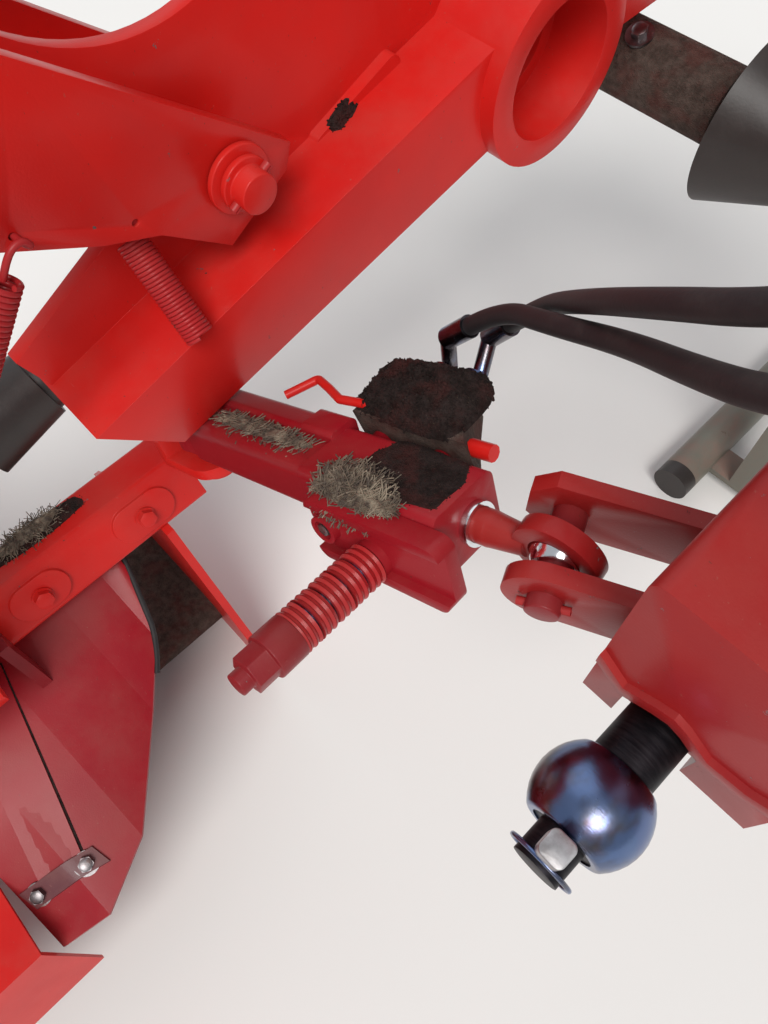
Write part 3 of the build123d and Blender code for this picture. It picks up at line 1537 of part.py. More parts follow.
knuckle_start = min(outer_hinge_places) + outer_hinge_block + 1
knuckle_end = max(outer_hinge_places) - 1
with BuildPart() as outer_guard:
    with BuildSketch(Plane.XZ.offset(-(guard_outer_y - 8))):
        with BuildLine():
            Polyline(
                (guard_front, guard_z + 30),
                (carrier_front, carrier_top + 10),
                (canopy_rear, canopy_z - 40),
                (canopy_rear, canopy_z - 44),
                (carrier_front, carrier_top + 6),
                (guard_front, guard_z + 26),
                close=True,
            )
        make_face()
    extrude(amount=guard_outer_y - 8 - outer_guard_y)
    with BuildSketch(Plane.YZ.offset(knuckle_start)):
        with Locations((outer_hinge_y, outer_hinge_z)):
            Circle(hinge_radius)
        with Locations((outer_hinge_y - 20, outer_hinge_z - 7)):
            Rectangle(24, 14)
        with Locations((outer_hinge_y, outer_hinge_z)):
            Circle(hinge_pin_radius + fit, mode=Mode.SUBTRACT)
    extrude(amount=knuckle_end - knuckle_start)
keep("outer_guard", outer_guard.part)

with BuildPart() as swath_board:
    with BuildSketch(Plane.XY.offset(board_top - board_height)):
        with Locations((board_x - board_length / 2, board_y)):
            Rectangle(board_length, board_thickness)
    extrude(amount=board_height)
    with BuildSketch(Plane.XY.offset(board_top - board_height)):
        with Locations((board_x, board_y)):
            Circle(board_post_radius)
    extrude(amount=hub_top + 10 - board_top + board_height)
    with BuildSketch(Plane.XY.offset(hub_top + seat)):
        with Locations((board_x, board_y)):
            Circle(board_post_radius + 7)
    extrude(amount=8)
keep("swath_board", swath_board.part)

# Move everything so that the origin lies on the ground under the middle of the machine's box
low_x = min(shape.bounding_box().min.X for shape in pieces.values())
high_x = max(shape.bounding_box().max.X for shape in pieces.values())
low_y = min(shape.bounding_box().min.Y for shape in pieces.values())
high_y = max(shape.bounding_box().max.Y for shape in pieces.values())
origin_shift = Pos(-(low_x + high_x) / 2, -(low_y + high_y) / 2, 0)

os.makedirs("parts", exist_ok=True)
for name, shape in pieces.items():
    placed = origin_shift * shape
    placed.label = name
    export_step(placed, f"parts/{name}.step")
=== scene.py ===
import json
import math

import bmesh
import bpy
from bpy.props import FloatProperty, FloatVectorProperty, IntProperty, PointerProperty
from mathutils import Matrix, Vector, noise
from mathutils.bvhtree import BVHTree

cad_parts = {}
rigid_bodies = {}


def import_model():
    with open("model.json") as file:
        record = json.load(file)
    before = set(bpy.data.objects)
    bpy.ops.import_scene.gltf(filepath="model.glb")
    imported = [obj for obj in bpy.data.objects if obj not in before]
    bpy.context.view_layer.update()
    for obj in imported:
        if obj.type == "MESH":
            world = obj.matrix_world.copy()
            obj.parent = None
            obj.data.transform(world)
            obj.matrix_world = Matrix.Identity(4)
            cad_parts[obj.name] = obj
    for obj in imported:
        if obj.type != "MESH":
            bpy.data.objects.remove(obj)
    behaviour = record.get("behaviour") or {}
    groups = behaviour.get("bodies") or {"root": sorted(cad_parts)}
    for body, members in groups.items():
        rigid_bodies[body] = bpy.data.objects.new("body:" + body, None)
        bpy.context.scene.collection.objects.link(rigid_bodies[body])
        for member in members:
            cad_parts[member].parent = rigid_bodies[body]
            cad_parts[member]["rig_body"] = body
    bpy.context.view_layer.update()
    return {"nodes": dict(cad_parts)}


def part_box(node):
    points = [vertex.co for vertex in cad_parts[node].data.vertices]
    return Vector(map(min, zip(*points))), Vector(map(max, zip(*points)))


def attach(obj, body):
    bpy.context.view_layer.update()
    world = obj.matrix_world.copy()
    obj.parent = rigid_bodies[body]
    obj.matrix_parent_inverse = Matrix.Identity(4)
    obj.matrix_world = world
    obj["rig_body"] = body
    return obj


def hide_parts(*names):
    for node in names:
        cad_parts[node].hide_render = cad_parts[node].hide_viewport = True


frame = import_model()
NODES = frame["nodes"]

bl_info = {
    "name": "Mounted Disc Mower",
    "version": (1, 0, 0),
    "blender": (4, 5, 0),
    "location": "View3D > Sidebar > Disc Mower",
    "description": "Dresses the packed frame of a rear-mounted disc mower with its paint, springs, hoses and dirt",
    "category": "Object",
}

# The machine's own measures are in millimetres from the lower-link pins' axis and the centre plane
MACHINE_ORIGIN = Vector((0.676, 1.30625, 0.0))


def at(x, y, z):
    """A point of the machine, given in millimetres from its hitch, in the frame's metres."""
    return MACHINE_ORIGIN + Vector((x, y, z)) / 1000


# The break-away strut's own directions: along it to the rear, outboard across it, and up from it
STRUT_TURN = math.radians(10)
STRUT_DIP = math.radians(24)
STRUT_EYE = at(-100, -415, 750)
STRUT_U = Vector(
    (-math.cos(STRUT_TURN) * math.cos(STRUT_DIP), -math.sin(STRUT_TURN) * math.cos(STRUT_DIP), -math.sin(STRUT_DIP))
)
STRUT_S = Vector((math.sin(STRUT_TURN), -math.cos(STRUT_TURN), 0))
STRUT_N = STRUT_U.cross(STRUT_S)


# The strut's body is rolled about its length
BODY_ROLL = math.radians(12)
BODY_S = STRUT_S * math.cos(BODY_ROLL) + STRUT_N * math.sin(BODY_ROLL)
BODY_N = STRUT_N * math.cos(BODY_ROLL) - STRUT_S * math.sin(BODY_ROLL)


def on_body(u, s, n):
    """A point of the strut's rolled body, in millimetres from its eye."""
    return STRUT_EYE + (STRUT_U * u + BODY_S * s + BODY_N * n) / 1000


# The valve block stands beside the strut in a frame of the strut's own directions
VALVE_CORNER = at(-102, -424, 750)


def on_valve(u, s, n):
    """A point of the valve block, in millimetres from its corner."""
    return VALVE_CORNER + (STRUT_U * u + STRUT_S * s + STRUT_N * n) / 1000


# The clevis pin's own direction, outboard and forward, and the level one across it
CLEVIS_TURN = math.radians(64)
CLEVIS_AXIS = Vector((math.cos(CLEVIS_TURN), -math.sin(CLEVIS_TURN), 0))
CLEVIS_SIDE = Vector((math.sin(CLEVIS_TURN), math.cos(CLEVIS_TURN), 0))

DOWN = Vector((0, 0, -1))


# Settings


def colour_setting(name, description, default):
    return FloatVectorProperty(name=name, description=description, subtype="COLOR", size=3, default=default)


def share_setting(name, description, default):
    return FloatProperty(name=name, description=description, subtype="FACTOR", default=default, min=0, max=1)


class PaintSettings(bpy.types.PropertyGroup):
    fresh: colour_setting("Paint", "Colour of the red machine paint", (0.66, 0.013, 0.009))
    shaded: colour_setting("Aged Paint", "Colour of the older, deeper red", (0.38, 0.010, 0.011))
    dust: share_setting("Dust", "How much dust lies on faces that look up", 0.16)
    chips: share_setting("Chips", "Share of the paint that is chipped away", 0.5)


class SoilSettings(bpy.types.PropertyGroup):
    colour: colour_setting("Soil", "Colour of the dried soil", (0.011, 0.006, 0.005))
    straws: IntProperty(name="Straws", description="Straws in one tuft of hay", default=520, min=10, max=2000)
    seed: IntProperty(name="Seed", description="Seed of the scattered straws", default=7, min=0)


class StageSettings(bpy.types.PropertyGroup):
    floor_size: FloatProperty(name="Floor Size", description="Side of the floor", default=60.0, min=5, unit="LENGTH")
    floor_colour: colour_setting("Floor", "Colour of the floor", (0.78, 0.77, 0.75))
    key_power: FloatProperty(name="Key Strength", description="Strength of the broad key light", default=2.35, min=0)
    fill_power: FloatProperty(name="Fill Strength", description="Strength of the broad fill light", default=0.45, min=0)
    sky_strength: FloatProperty(name="Sky Strength", description="Strength of the world light", default=0.48, min=0)
    lens: FloatProperty(name="Lens", description="Focal length of the camera in millimetres", default=27.035, min=1)


# Shader expressions


class Term:
    """A shader socket that can stand in an arithmetic expression."""

    def __init__(self, finish, socket):
        self.finish = finish
        self.socket = socket

    def _maths(self, operation, *terms, clamp=False):
        return self.finish.node("ShaderNodeMath", {"operation": operation, "use_clamp": clamp}, dict(enumerate(terms)))

    def __add__(self, other):
        return self._maths("ADD", self, other)

    __radd__ = __add__

    def __sub__(self, other):
        return self._maths("SUBTRACT", self, other)

    def __rsub__(self, other):
        return self._maths("SUBTRACT", other, self)

    def __mul__(self, other):
        return self._maths("MULTIPLY", self, other)

    __rmul__ = __mul__

    def over(self, edge, width):
        """0 below an edge and 1 above it, turning smoothly across the width."""
        return self.finish.node(
            "ShaderNodeMapRange",
            {"interpolation_type": "SMOOTHSTEP", "clamp": True},
            {0: self, 1: edge - width, 2: edge + width, 3: 0.0, 4: 1.0},
        )

    def clamped(self):
        return self._maths("ADD", self, 0.0, clamp=True)


class Finish:
    """A material under construction, and the nodes that its expressions need."""

    def __init__(self, name):
        self.material = bpy.data.materials.new(name)
        self.material.use_nodes = True
        self.tree = self.material.node_tree
        self.tree.nodes.clear()
        self.shader = self.tree.nodes.new("ShaderNodeBsdfPrincipled")
        output = self.tree.nodes.new("ShaderNodeOutputMaterial")
        self.tree.links.new(self.shader.outputs[0], output.inputs[0])
        self.coordinates = self.tree.nodes.new("ShaderNodeTexCoord")

    def node(self, kind, settings=None, values=None, output=0):
        made = self.tree.nodes.new(kind)
        for key, value in (settings or {}).items():
            setattr(made, key, value)
        for key, value in (values or {}).items():
            self.feed(made.inputs[key], value)
        return Term(self, made.outputs[output])

    def feed(self, socket, value):
        if isinstance(value, Term):
            self.tree.links.new(value.socket, socket)
        elif isinstance(value, (tuple, list)) and len(value) == 3 and socket.type == "RGBA":
            socket.default_value = (*value, 1.0)
        else:
            socket.default_value = value

    def place(self, stretch=(1, 1, 1), turn=(0, 0, 0)):
        """Object coordinates, stretched or turned."""
        own = Term(self, self.coordinates.outputs["Object"])
        return self.node("ShaderNodeMapping", {}, {"Vector": own, "Scale": stretch, "Rotation": turn})

    def clouds(self, scale, detail=4.0, roughness=0.55, stretch=(1, 1, 1), turn=(0, 0, 0)):
        values = {"Vector": self.place(stretch, turn), "Scale": scale, "Detail": detail, "Roughness": roughness}
        return self.node("ShaderNodeTexNoise", {}, values)

    def cells(self, scale):
        return self.node("ShaderNodeTexVoronoi", {}, {"Vector": self.place(), "Scale": scale})

    def upward(self):
        """How far a face looks up, from the object's own normal."""
        split = self.tree.nodes.new("ShaderNodeSeparateXYZ")
        self.tree.links.new(self.coordinates.outputs["Normal"], split.inputs[0])
        return Term(self, split.outputs[2])

    def worn_edge(self):
        """1 on the bevelled edges of a softened piece."""
        return self.node("ShaderNodeAttribute", {"attribute_name": "edge_wear"}, {}, 2)

    def blend(self, share, first, second):
        return self.node("ShaderNodeMix", {"data_type": "RGBA"}, {0: share, 6: first, 7: second}, 2)

    def bump(self, height, strength, distance):
        return self.node("ShaderNodeBump", {}, {"Height": height, "Strength": strength, "Distance": distance})

    def done(self, **sockets):
        for name, value in sockets.items():
            self.feed(self.shader.inputs[name.replace("_", " ")], value)
        return self.material


# Finishes


def red_paint(name, colour, deep, dust_level, chip_level, soil):
    """Gloss machine paint: faded in clouds, dusty on top, chipped on its edges and spattered with soil."""
    f = Finish(name)
    fade = f.clouds(5.0, 3.0).over(0.5, 0.22)
    fine = f.clouds(38.0, 5.0, 0.6)
    base = f.blend(fade * 0.4 + fine * 0.22, colour, deep)
    up = f.upward()
    grime = f.clouds(14.0, 6.0, 0.65)
    dust = (up.over(0.45, 0.35) * 0.75 + 0.25) * grime.over(0.52, 0.2) * dust_level
    specks = f.clouds(420.0, 2.0, 0.5).over(0.74, 0.02) * (dust_level * 2)
    dusty = f.blend((dust + specks).clamped(), base, (0.30, 0.13, 0.10))
    flecks = f.clouds(260.0, 2.0, 0.5, (1.0, 2.6, 1.0), (0.4, 0.2, 0.7)).over(0.755, 0.02)
    dusty = f.blend(flecks * 0.7, dusty, (0.12, 0.03, 0.022))
    spatter = f.clouds(26.0, 8.0, 0.7).over(0.72 - 0.14 * soil, 0.035) * (0.3 + soil)
    soiled = f.blend(spatter.clamped(), dusty, (0.075, 0.038, 0.028))
    rub = f.clouds(90.0, 6.0, 0.7)
    edge = f.worn_edge()
    chips = (rub + edge * 0.15).over(0.875 - 0.05 * chip_level, 0.012)
    bare = f.blend(f.clouds(60.0, 3.0).over(0.5, 0.1), (0.07, 0.035, 0.030), (0.20, 0.16, 0.16))
    colour_out = f.blend(chips, soiled, bare)
    scratch = f.clouds(30.0, 3.0, 0.5, (1.0, 14.0, 14.0), (0.3, 0.5, 0.9)).over(0.77, 0.02)
    colour_out = f.blend(scratch * 0.3, colour_out, (0.50, 0.20, 0.17))
    roughness = 0.30 + fine * 0.10 + dust * 0.35 + spatter * 0.4 + chips * 0.15
    peel = f.clouds(700.0, 2.0, 0.4)
    dents = f.clouds(7.0, 2.0, 0.4)
    surface = f.bump(peel * 0.12 + dents * 1.6 + spatter * 0.5 - chips * 0.35, 0.55, 0.0012)
    return f.done(
        Base_Color=colour_out,
        Roughness=roughness.clamped(),
        Normal=surface,
        Coat_Weight=0.05,
        Coat_Roughness=0.10,
        Specular_IOR_Level=0.2,
    )


def steel(name, bright, dark, roughness_low, roughness_high, rust, tint=None, grain=(1, 1, 1)):
    """Bare steel: brushed or rubbed, with rust in patches and heat colours where asked."""
    f = Finish(name)
    rub = f.clouds(60.0, 6.0, 0.65, grain)
    tone = f.blend(rub.over(0.5, 0.25), dark, bright)
    if tint is not None:
        tone = f.blend(f.clouds(42.0, 3.0).over(0.56, 0.07) * 0.7, tone, tint[0])
        tone = f.blend(f.clouds(21.0, 4.0, stretch=(1.4, 0.8, 1.0)).over(0.50, 0.08) * 0.75, tone, tint[1])
    pits = f.clouds(150.0, 6.0, 0.7)
    rusty = f.clouds(24.0, 7.0, 0.7).over(0.66 - 0.2 * rust, 0.06) * min(1.0, rust * 2.0)
    tone = f.blend(rusty, tone, (0.14, 0.045, 0.018))
    rough = roughness_low + rub * (roughness_high - roughness_low) + rusty * 0.35
    scratch = f.clouds(220.0, 3.0, 0.5, (1.0, 10.0, 1.0), (0.2, 0.3, 0.6))
    return f.done(
        Base_Color=tone,
        Roughness=rough.clamped(),
        Metallic=(1.0 - rusty * 0.8).clamped(),
        Normal=f.bump(pits * 0.25 + scratch * 0.25 + rusty * 0.6, 0.5, 0.0006),
    )


def soft_black(name, colour, dust_level, rough):
    """Rubber or plastic, dusted and scuffed."""
    f = Finish(name)
    grain = f.clouds(360.0, 4.0, 0.6)
    scuff = f.clouds(22.0, 7.0, 0.7).over(0.55, 0.12)
    dust = (f.upward().over(0.35, 0.45) * 0.6 + 0.3) * scuff * dust_level
    tone = f.blend(dust.clamped(), colour, (0.11, 0.09, 0.08))
    lift = grain * 0.4 + scuff * 0.2
    return f.done(Base_Color=tone, Roughness=(rough + dust * 0.3).clamped(), Normal=f.bump(lift, 0.5, 0.0006))


def caked_soil(name, colour, red):
    """Dried soil and chaff pressed onto metal, with a reddish stain of paint dust."""
    f = Finish(name)
    lumps = f.clouds(90.0, 9.0, 0.75)
    grains = f.cells(620.0)
    tone = f.blend(lumps.over(0.5, 0.2), colour, tuple(min(1.0, c * 2.3 + 0.012) for c in colour))
    tone = f.blend(f.clouds(34.0, 4.0).over(0.55, 0.1) * red, tone, (0.13, 0.022, 0.018))
    chaff = f.clouds(300.0, 4.0, 0.6, (1.0, 7.0, 7.0), (0.4, 0.2, 0.8)).over(0.66, 0.03)
    tone = f.blend(chaff * 0.5, tone, (0.22, 0.16, 0.10))
    return f.done(
        Base_Color=tone,
        Roughness=0.92,
        Specular_IOR_Level=0.2,
        Normal=f.bump(lumps * 1.6 + grains * 0.5 + chaff * 0.4, 0.9, 0.003),
    )


def straw(name):
    """Dry straw: pale, with greyer and browner stalks among it."""
    f = Finish(name)
    tone = f.blend(f.clouds(180.0, 2.0).over(0.5, 0.15), (0.165, 0.128, 0.09), (0.075, 0.055, 0.042))
    tone = f.blend(f.clouds(75.0, 3.0).over(0.58, 0.08), tone, (0.27, 0.22, 0.16))
    fibre = f.clouds(600.0, 2.0, 0.5, (1.0, 6.0, 1.0))
    return f.done(Base_Color=tone, Roughness=0.75, Normal=f.bump(fibre, 0.4, 0.0004))


def chrome(name):
    """Chromed rod with fine lengthwise rubbing and dust."""
    f = Finish(name)
    rub = f.clouds(260.0, 4.0, 0.6, (3.0, 1.0, 1.0))
    dust = f.clouds(40.0, 6.0, 0.7).over(0.6, 0.1)
    tone = f.blend(dust * 0.45, (0.78, 0.79, 0.82), (0.34, 0.27, 0.24))
    rough = (0.09 + rub * 0.08 + dust * 0.3).clamped()
    return f.done(Base_Color=tone, Metallic=1.0, Roughness=rough, Normal=f.bump(rub, 0.12, 0.0003))


def make_finishes():
    settings = bpy.context.scene.mower_paint
    dust, chips = settings.dust, settings.chips
    # Paint: its colour and deeper colour, dust, chips and spattered soil
    paints = {
        "red_paint": (tuple(settings.fresh), tuple(settings.shaded), dust, chips, 0.0),
        # A darker red for the headstock and the strut's rod: partly their dusty paint, partly painted shade
        "dust_and_shade_red": ((0.36, 0.016, 0.014), (0.22, 0.009, 0.015), dust * 0.8, chips * 2, 0.15),
        "dark_red_paint": ((0.27, 0.012, 0.018), (0.15, 0.010, 0.015), dust, chips * 1.2, 0.15),
        # A darker, bluer copy of the red paint: painted shade, for the strut's housing and lever and the inner guard
        "painted_shade_red": ((0.33, 0.007, 0.015), (0.20, 0.006, 0.013), dust, chips, 0.15),
        "worn_strap": ((0.14, 0.036, 0.044), (0.08, 0.022, 0.03), 0.3, 1.0, 0.3),
        "spring_paint": ((0.46, 0.020, 0.022), (0.25, 0.014, 0.018), dust, chips * 1.6, 0.35),
        "grey_paint": ((0.19, 0.19, 0.155), (0.12, 0.115, 0.095), 0.5, 0.4, 0.3),
    }
    # Steel: its bright and dark colours, lowest and highest roughness, rust, heat colours and grain
    heat = ((0.15, 0.08, 0.085), (0.13, 0.21, 0.42))
    steels = {
        "dark_steel": ((0.17, 0.165, 0.18), (0.07, 0.06, 0.07), 0.14, 0.34, 0.05, heat),
        "black_sleeve": ((0.035, 0.032, 0.036), (0.012, 0.011, 0.014), 0.35, 0.6, 0.08, None, (1, 8, 1)),
        "bright_steel": ((0.60, 0.60, 0.62), (0.30, 0.28, 0.28), 0.25, 0.5, 0.4),
        "bolt_steel": ((0.30, 0.28, 0.29), (0.13, 0.11, 0.11), 0.28, 0.5, 0.35),
        "disc_paint": ((0.09, 0.088, 0.085), (0.04, 0.036, 0.034), 0.4, 0.65, 0.5),
        "worn_skid": ((0.50, 0.49, 0.47), (0.22, 0.20, 0.19), 0.25, 0.5, 0.45, None, (1, 6, 1)),
    }
    return {
        **{name: red_paint(name, *values) for name, values in paints.items()},
        **{name: steel(name, *values) for name, values in steels.items()},
        "chrome_rod": chrome("chrome_rod"),
        "black_rubber": soft_black("black_rubber", (0.009, 0.008, 0.009), 0.3, 0.66),
        "black_plastic": soft_black("black_plastic", (0.022, 0.016, 0.014), 0.16, 0.42),
        "dirty_cast": caked_soil("dirty_cast", (0.05, 0.035, 0.028), 0.35),
        "soil": caked_soil("soil", tuple(bpy.context.scene.mower_soil.colour), 0.25),
        "straw": straw("straw"),
    }


FINISHES = {}


def finish_named(name):
    if not FINISHES:
        FINISHES.update(make_finishes())
    return FINISHES[name]


# Mesh helpers


def linked(name, data):
    """A new object of some data, in the scene."""
    made = bpy.data.objects.new(name, data)
    bpy.context.scene.collection.objects.link(made)
    return made


def carried(piece, body):
    """Lets a piece ride on a body."""
    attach(piece, body)
    return piece


def smooth(mesh, angle):
    """Shades a mesh smooth but for the edges sharper than an angle in degrees."""
    mesh.polygons.foreach_set("use_smooth", [True] * len(mesh.polygons))
    mesh.set_sharp_from_angle(angle=math.radians(angle))


def mesh_object(name, bm, finish, body, smooth_angle=30):
    """Makes a piece from a bmesh, smooth but for its sharp edges, and lets it ride on a body."""
    mesh = bpy.data.meshes.new(name)
    bm.to_mesh(mesh)
    bm.free()
    smooth(mesh, smooth_angle)
    mesh.materials.append(finish_named(finish))
    return carried(linked(name, mesh), body)


def closed_piece(name, bm, place, finish, body):
    """Makes a piece from a closed bmesh drawn at the origin, faced outward and stood on its place."""
    bmesh.ops.recalc_face_normals(bm, faces=bm.faces)
    bm.transform(place)
    return mesh_object(name, bm, finish, body)


def plain_mesh(piece):
    """Turns a piece with modifiers, or a curve, into a plain mesh with the same name."""
    depsgraph = bpy.context.evaluated_depsgraph_get()
    mesh = bpy.data.meshes.new_from_object(piece.evaluated_get(depsgraph))
    if piece.type == "MESH":
        piece.modifiers.clear()
        piece.data = mesh
        return piece
    name = piece.name
    bpy.data.objects.remove(piece)
    return linked(name, mesh)


# Edges turning by more than SHARP degrees are rounded, faces within FLAT degrees count as one, and points closer than
# WELD metres are one
SHARP = 34.0
FLAT = 0.8
WELD = 2e-5


def soften(node, finish, width):
    """Stands a copy of a CAD node with rounded edges in the node's place."""
    source = NODES[node]
    bm = bmesh.new()
    bm.from_mesh(source.data)
    bmesh.ops.remove_doubles(bm, verts=bm.verts, dist=WELD)
    bmesh.ops.dissolve_limit(bm, angle_limit=math.radians(FLAT), verts=bm.verts, edges=bm.edges)
    sharp = [edge for edge in bm.edges if edge.is_manifold and edge.calc_face_angle(0.0) > math.radians(SHARP)]
    rounded = bmesh.ops.bevel(
        bm,
        geom=sharp,
        offset=width,
        offset_type="OFFSET",
        segments=2,
        profile=0.5,
        affect="EDGES",
        clamp_overlap=True,
    )
    wear = bm.verts.layers.float.new("edge_wear")
    for face in rounded["faces"]:
        for vert in face.verts:
            vert[wear] = 1.0
    bmesh.ops.triangulate(bm, faces=[face for face in bm.faces if len(face.verts) > 4])
    piece = mesh_object(node + "_dressed", bm, finish, source["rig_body"], 40.0)
    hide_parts(node)


def paint_node(node, finish):
    """Gives a CAD node its finish as it is."""
    data = NODES[node].data
    data.materials.clear()
    data.materials.append(finish_named(finish))


def frame_matrix(origin, x_axis, z_axis):
    """The matrix that stands a shape drawn at the origin on a place, with its own x and z."""
    z = z_axis.normalized()
    x = (x_axis - z * x_axis.dot(z)).normalized()
    return Matrix.Translation(origin) @ Matrix((x, z.cross(x), z)).transposed().to_4x4()


def surface_under(nodes, place, direction):
    """The first point of the named nodes that a line from a place meets and the way that it faces, or None."""
    best = None
    for node in nodes:
        mesh = NODES[node].data
        tree = BVHTree.FromPolygons([v.co for v in mesh.vertices], [p.vertices for p in mesh.polygons])
        hit, normal, _, distance = tree.ray_cast(place, direction)
        if hit is not None and (best is None or distance < best[2]):
            best = (hit, normal, distance)
    return best[:2] if best else None


# A strip is looked for from above all that it lies on, in millimetres, and sinks into it a little, in metres
LOOK_FROM = 700
SINK = Vector((0, 0, 0.0003))


def lay_strip(name, start, end, across, thickness, node, finish, steps=12):
    """A thin strip laid on the node below it, between two places of its edge seen from above."""
    bm = bmesh.new()
    rows = []
    for k in range(steps + 1):
        share = k / steps
        row = []
        for side in (0, 1):
            x = start[0] + (end[0] - start[0]) * share + across[0] * side
            y = start[1] + (end[1] - start[1]) * share + across[1] * side
            found = surface_under((node,), at(x, y, LOOK_FROM), DOWN)
            if found is None:
                raise RuntimeError(f"{name} leaves its carrier at {x:.0f}, {y:.0f}")
            row += [found[0] + Vector((0, 0, thickness / 1000)), found[0] - SINK]
        rows.append([bm.verts.new(place) for place in row])
    for near, far in zip(rows, rows[1:]):
        for a, b in ((0, 2), (2, 3), (3, 1), (1, 0)):
            bm.faces.new((near[a], near[b], far[b], far[a]))
    for tip in (rows[0], rows[-1]):
        bm.faces.new((tip[0], tip[2], tip[3], tip[1]))
    bmesh.ops.recalc_face_normals(bm, faces=bm.faces)
    return mesh_object(name, bm, finish, NODES[node]["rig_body"])


def nurbs_line(name, points, radius, finish, order, closed, round_steps, length_steps):
    """A round line along control points in the frame's metres."""
    curve = bpy.data.curves.new(name, "CURVE")
    curve.dimensions = "3D"
    curve.bevel_depth = radius
    curve.bevel_resolution = round_steps
    curve.resolution_u = length_steps
    curve.use_fill_caps = True
    spline = curve.splines.new("NURBS")
    spline.points.add(len(points) - 1)
    for point, place in zip(spline.points, points):
        point.co = (*place, 1.0)
    spline.order_u = order
    spline.use_cyclic_u = closed
    spline.use_endpoint_u = not closed
    curve.materials.append(finish_named(finish))
    return linked(name, curve)


def wire_piece(name, points, radius, finish, body, closed=False, order=3):
    """A wire or bar, its radius in millimetres, along a smooth line through control points."""
    return carried(plain_mesh(nurbs_line(name, points, radius / 1000, finish, order, closed, 3, 8)), body)


def turned_piece(name, outline, place, finish, body, steps=48):
    """A ring or cap turned about the place's z from a closed outline of (radius, height) in millimetres."""
    bm = bmesh.new()
    rings = []
    for k in range(steps):
        x, y = math.cos(math.tau * k / steps), math.sin(math.tau * k / steps)
        rings.append([bm.verts.new((r * x / 1000, r * y / 1000, h / 1000)) for r, h in outline])
    for k, ring in enumerate(rings):
        after = rings[(k + 1) % steps]
        for j in range(len(outline)):
            i = (j + 1) % len(outline)
            bm.faces.new((ring[j], after[j], after[i], ring[i]))
    return closed_piece(name, bm, place, finish, body)


# A roll pin's slit, to each side in degrees, its bore as a share of its radius, and the steps round it
HALF_SLIT = 14
BORE_SHARE = 0.62
TUBE_STEPS = 18


def split_tube(name, place, length, radius, finish, body):
    """A roll pin: a slit spring-steel tube centred on a place, along its z."""
    turns = [math.radians(HALF_SLIT + k * ((360 - 2 * HALF_SLIT) / TUBE_STEPS)) for k in range(TUBE_STEPS + 1)]
    bore = radius * BORE_SHARE
    outline = [(radius * math.cos(turn), radius * math.sin(turn)) for turn in turns]
    outline += [(bore * math.cos(turn), bore * math.sin(turn)) for turn in reversed(turns)]
    bm = bmesh.new()
    ends = [[bm.verts.new((x / 1000, y / 1000, z * length / 2000)) for x, y in outline] for z in (-1, 1)]
    count = len(outline)
    for j in range(count):
        i = (j + 1) % count
        bm.faces.new((ends[0][j], ends[0][i], ends[1][i], ends[1][j]))
    for j in range(TUBE_STEPS):
        for end in ends:
            bm.faces.new((end[j], end[j + 1], end[count - 2 - j], end[count - 1 - j]))
    return closed_piece(name, bm, place, finish, body)


# How far a heap reaches below its seat, in millimetres
HEAP_FOOT = -0.6


def mound(half_x, half_y, height, seed, corner=1.0, rough=0.3, rings=14, steps=44):
    """A low closed heap on the origin, with a ragged rim and a lumpy top, in millimetres; corner 1 is an oval."""
    bm = bmesh.new()
    shift = Vector((seed * 3.7, seed * 1.9, 0))
    levels = []
    for ring in range(1, rings + 1):
        share = ring / rings
        level = []
        for k in range(steps):
            turn = math.tau * k / steps
            spread = 1 + rough * 0.6 * noise.noise(Vector((math.cos(turn) * 1.6, math.sin(turn) * 1.6, seed)))
            x = share * spread * half_x * math.copysign(abs(math.cos(turn)) ** corner, math.cos(turn))
            y = share * spread * half_y * math.copysign(abs(math.sin(turn)) ** corner, math.sin(turn))
            lump = noise.fractal(Vector((x, y, 0)) * 0.09 + shift, 0.8, 2.1, 4)
            z = height * (1 - share**3) ** 0.7 * (1 + rough * lump) + rough * height * 0.3 * lump * (1 - share)
            level.append(bm.verts.new((x / 1000, y / 1000, (z if ring < rings else HEAP_FOOT) / 1000)))
        levels.append(level)
    top = bm.verts.new((0, 0, height * (1 + rough * noise.noise(shift)) / 1000))
    base = bm.verts.new((0, 0, HEAP_FOOT / 1000))
    for k in range(steps):
        after = (k + 1) % steps
        bm.faces.new((top, levels[0][k], levels[0][after]))
        for lower, upper in zip(levels[1:], levels):
            bm.faces.new((upper[k], lower[k], lower[after], upper[after]))
        bm.faces.new((base, levels[-1][after], levels[-1][k]))
    bmesh.ops.recalc_face_normals(bm, faces=bm.faces)
    mesh = bpy.data.meshes.new("mound")
    bm.to_mesh(mesh)
    bm.free()
    mesh.polygons.foreach_set("use_smooth", [True] * len(mesh.polygons))
    return mesh


def marked_points(rows):
    """A mesh of loose points, each with the way that it faces and its size, for a fastener to stand on."""
    mesh = bpy.data.meshes.new("marks")
    mesh.from_pydata([tuple(place) for place, _, _ in rows], [], [])
    mesh.attributes.new("facing", "FLOAT_VECTOR", "POINT")
    mesh.attributes.new("across", "FLOAT", "POINT")
    for k, (_, direction, size) in enumerate(rows):
        mesh.attributes["facing"].data[k].vector = direction
        mesh.attributes["across"].data[k].value = size / 1000
    return mesh


# Growths: what repeats or is strewn, made by geometry nodes


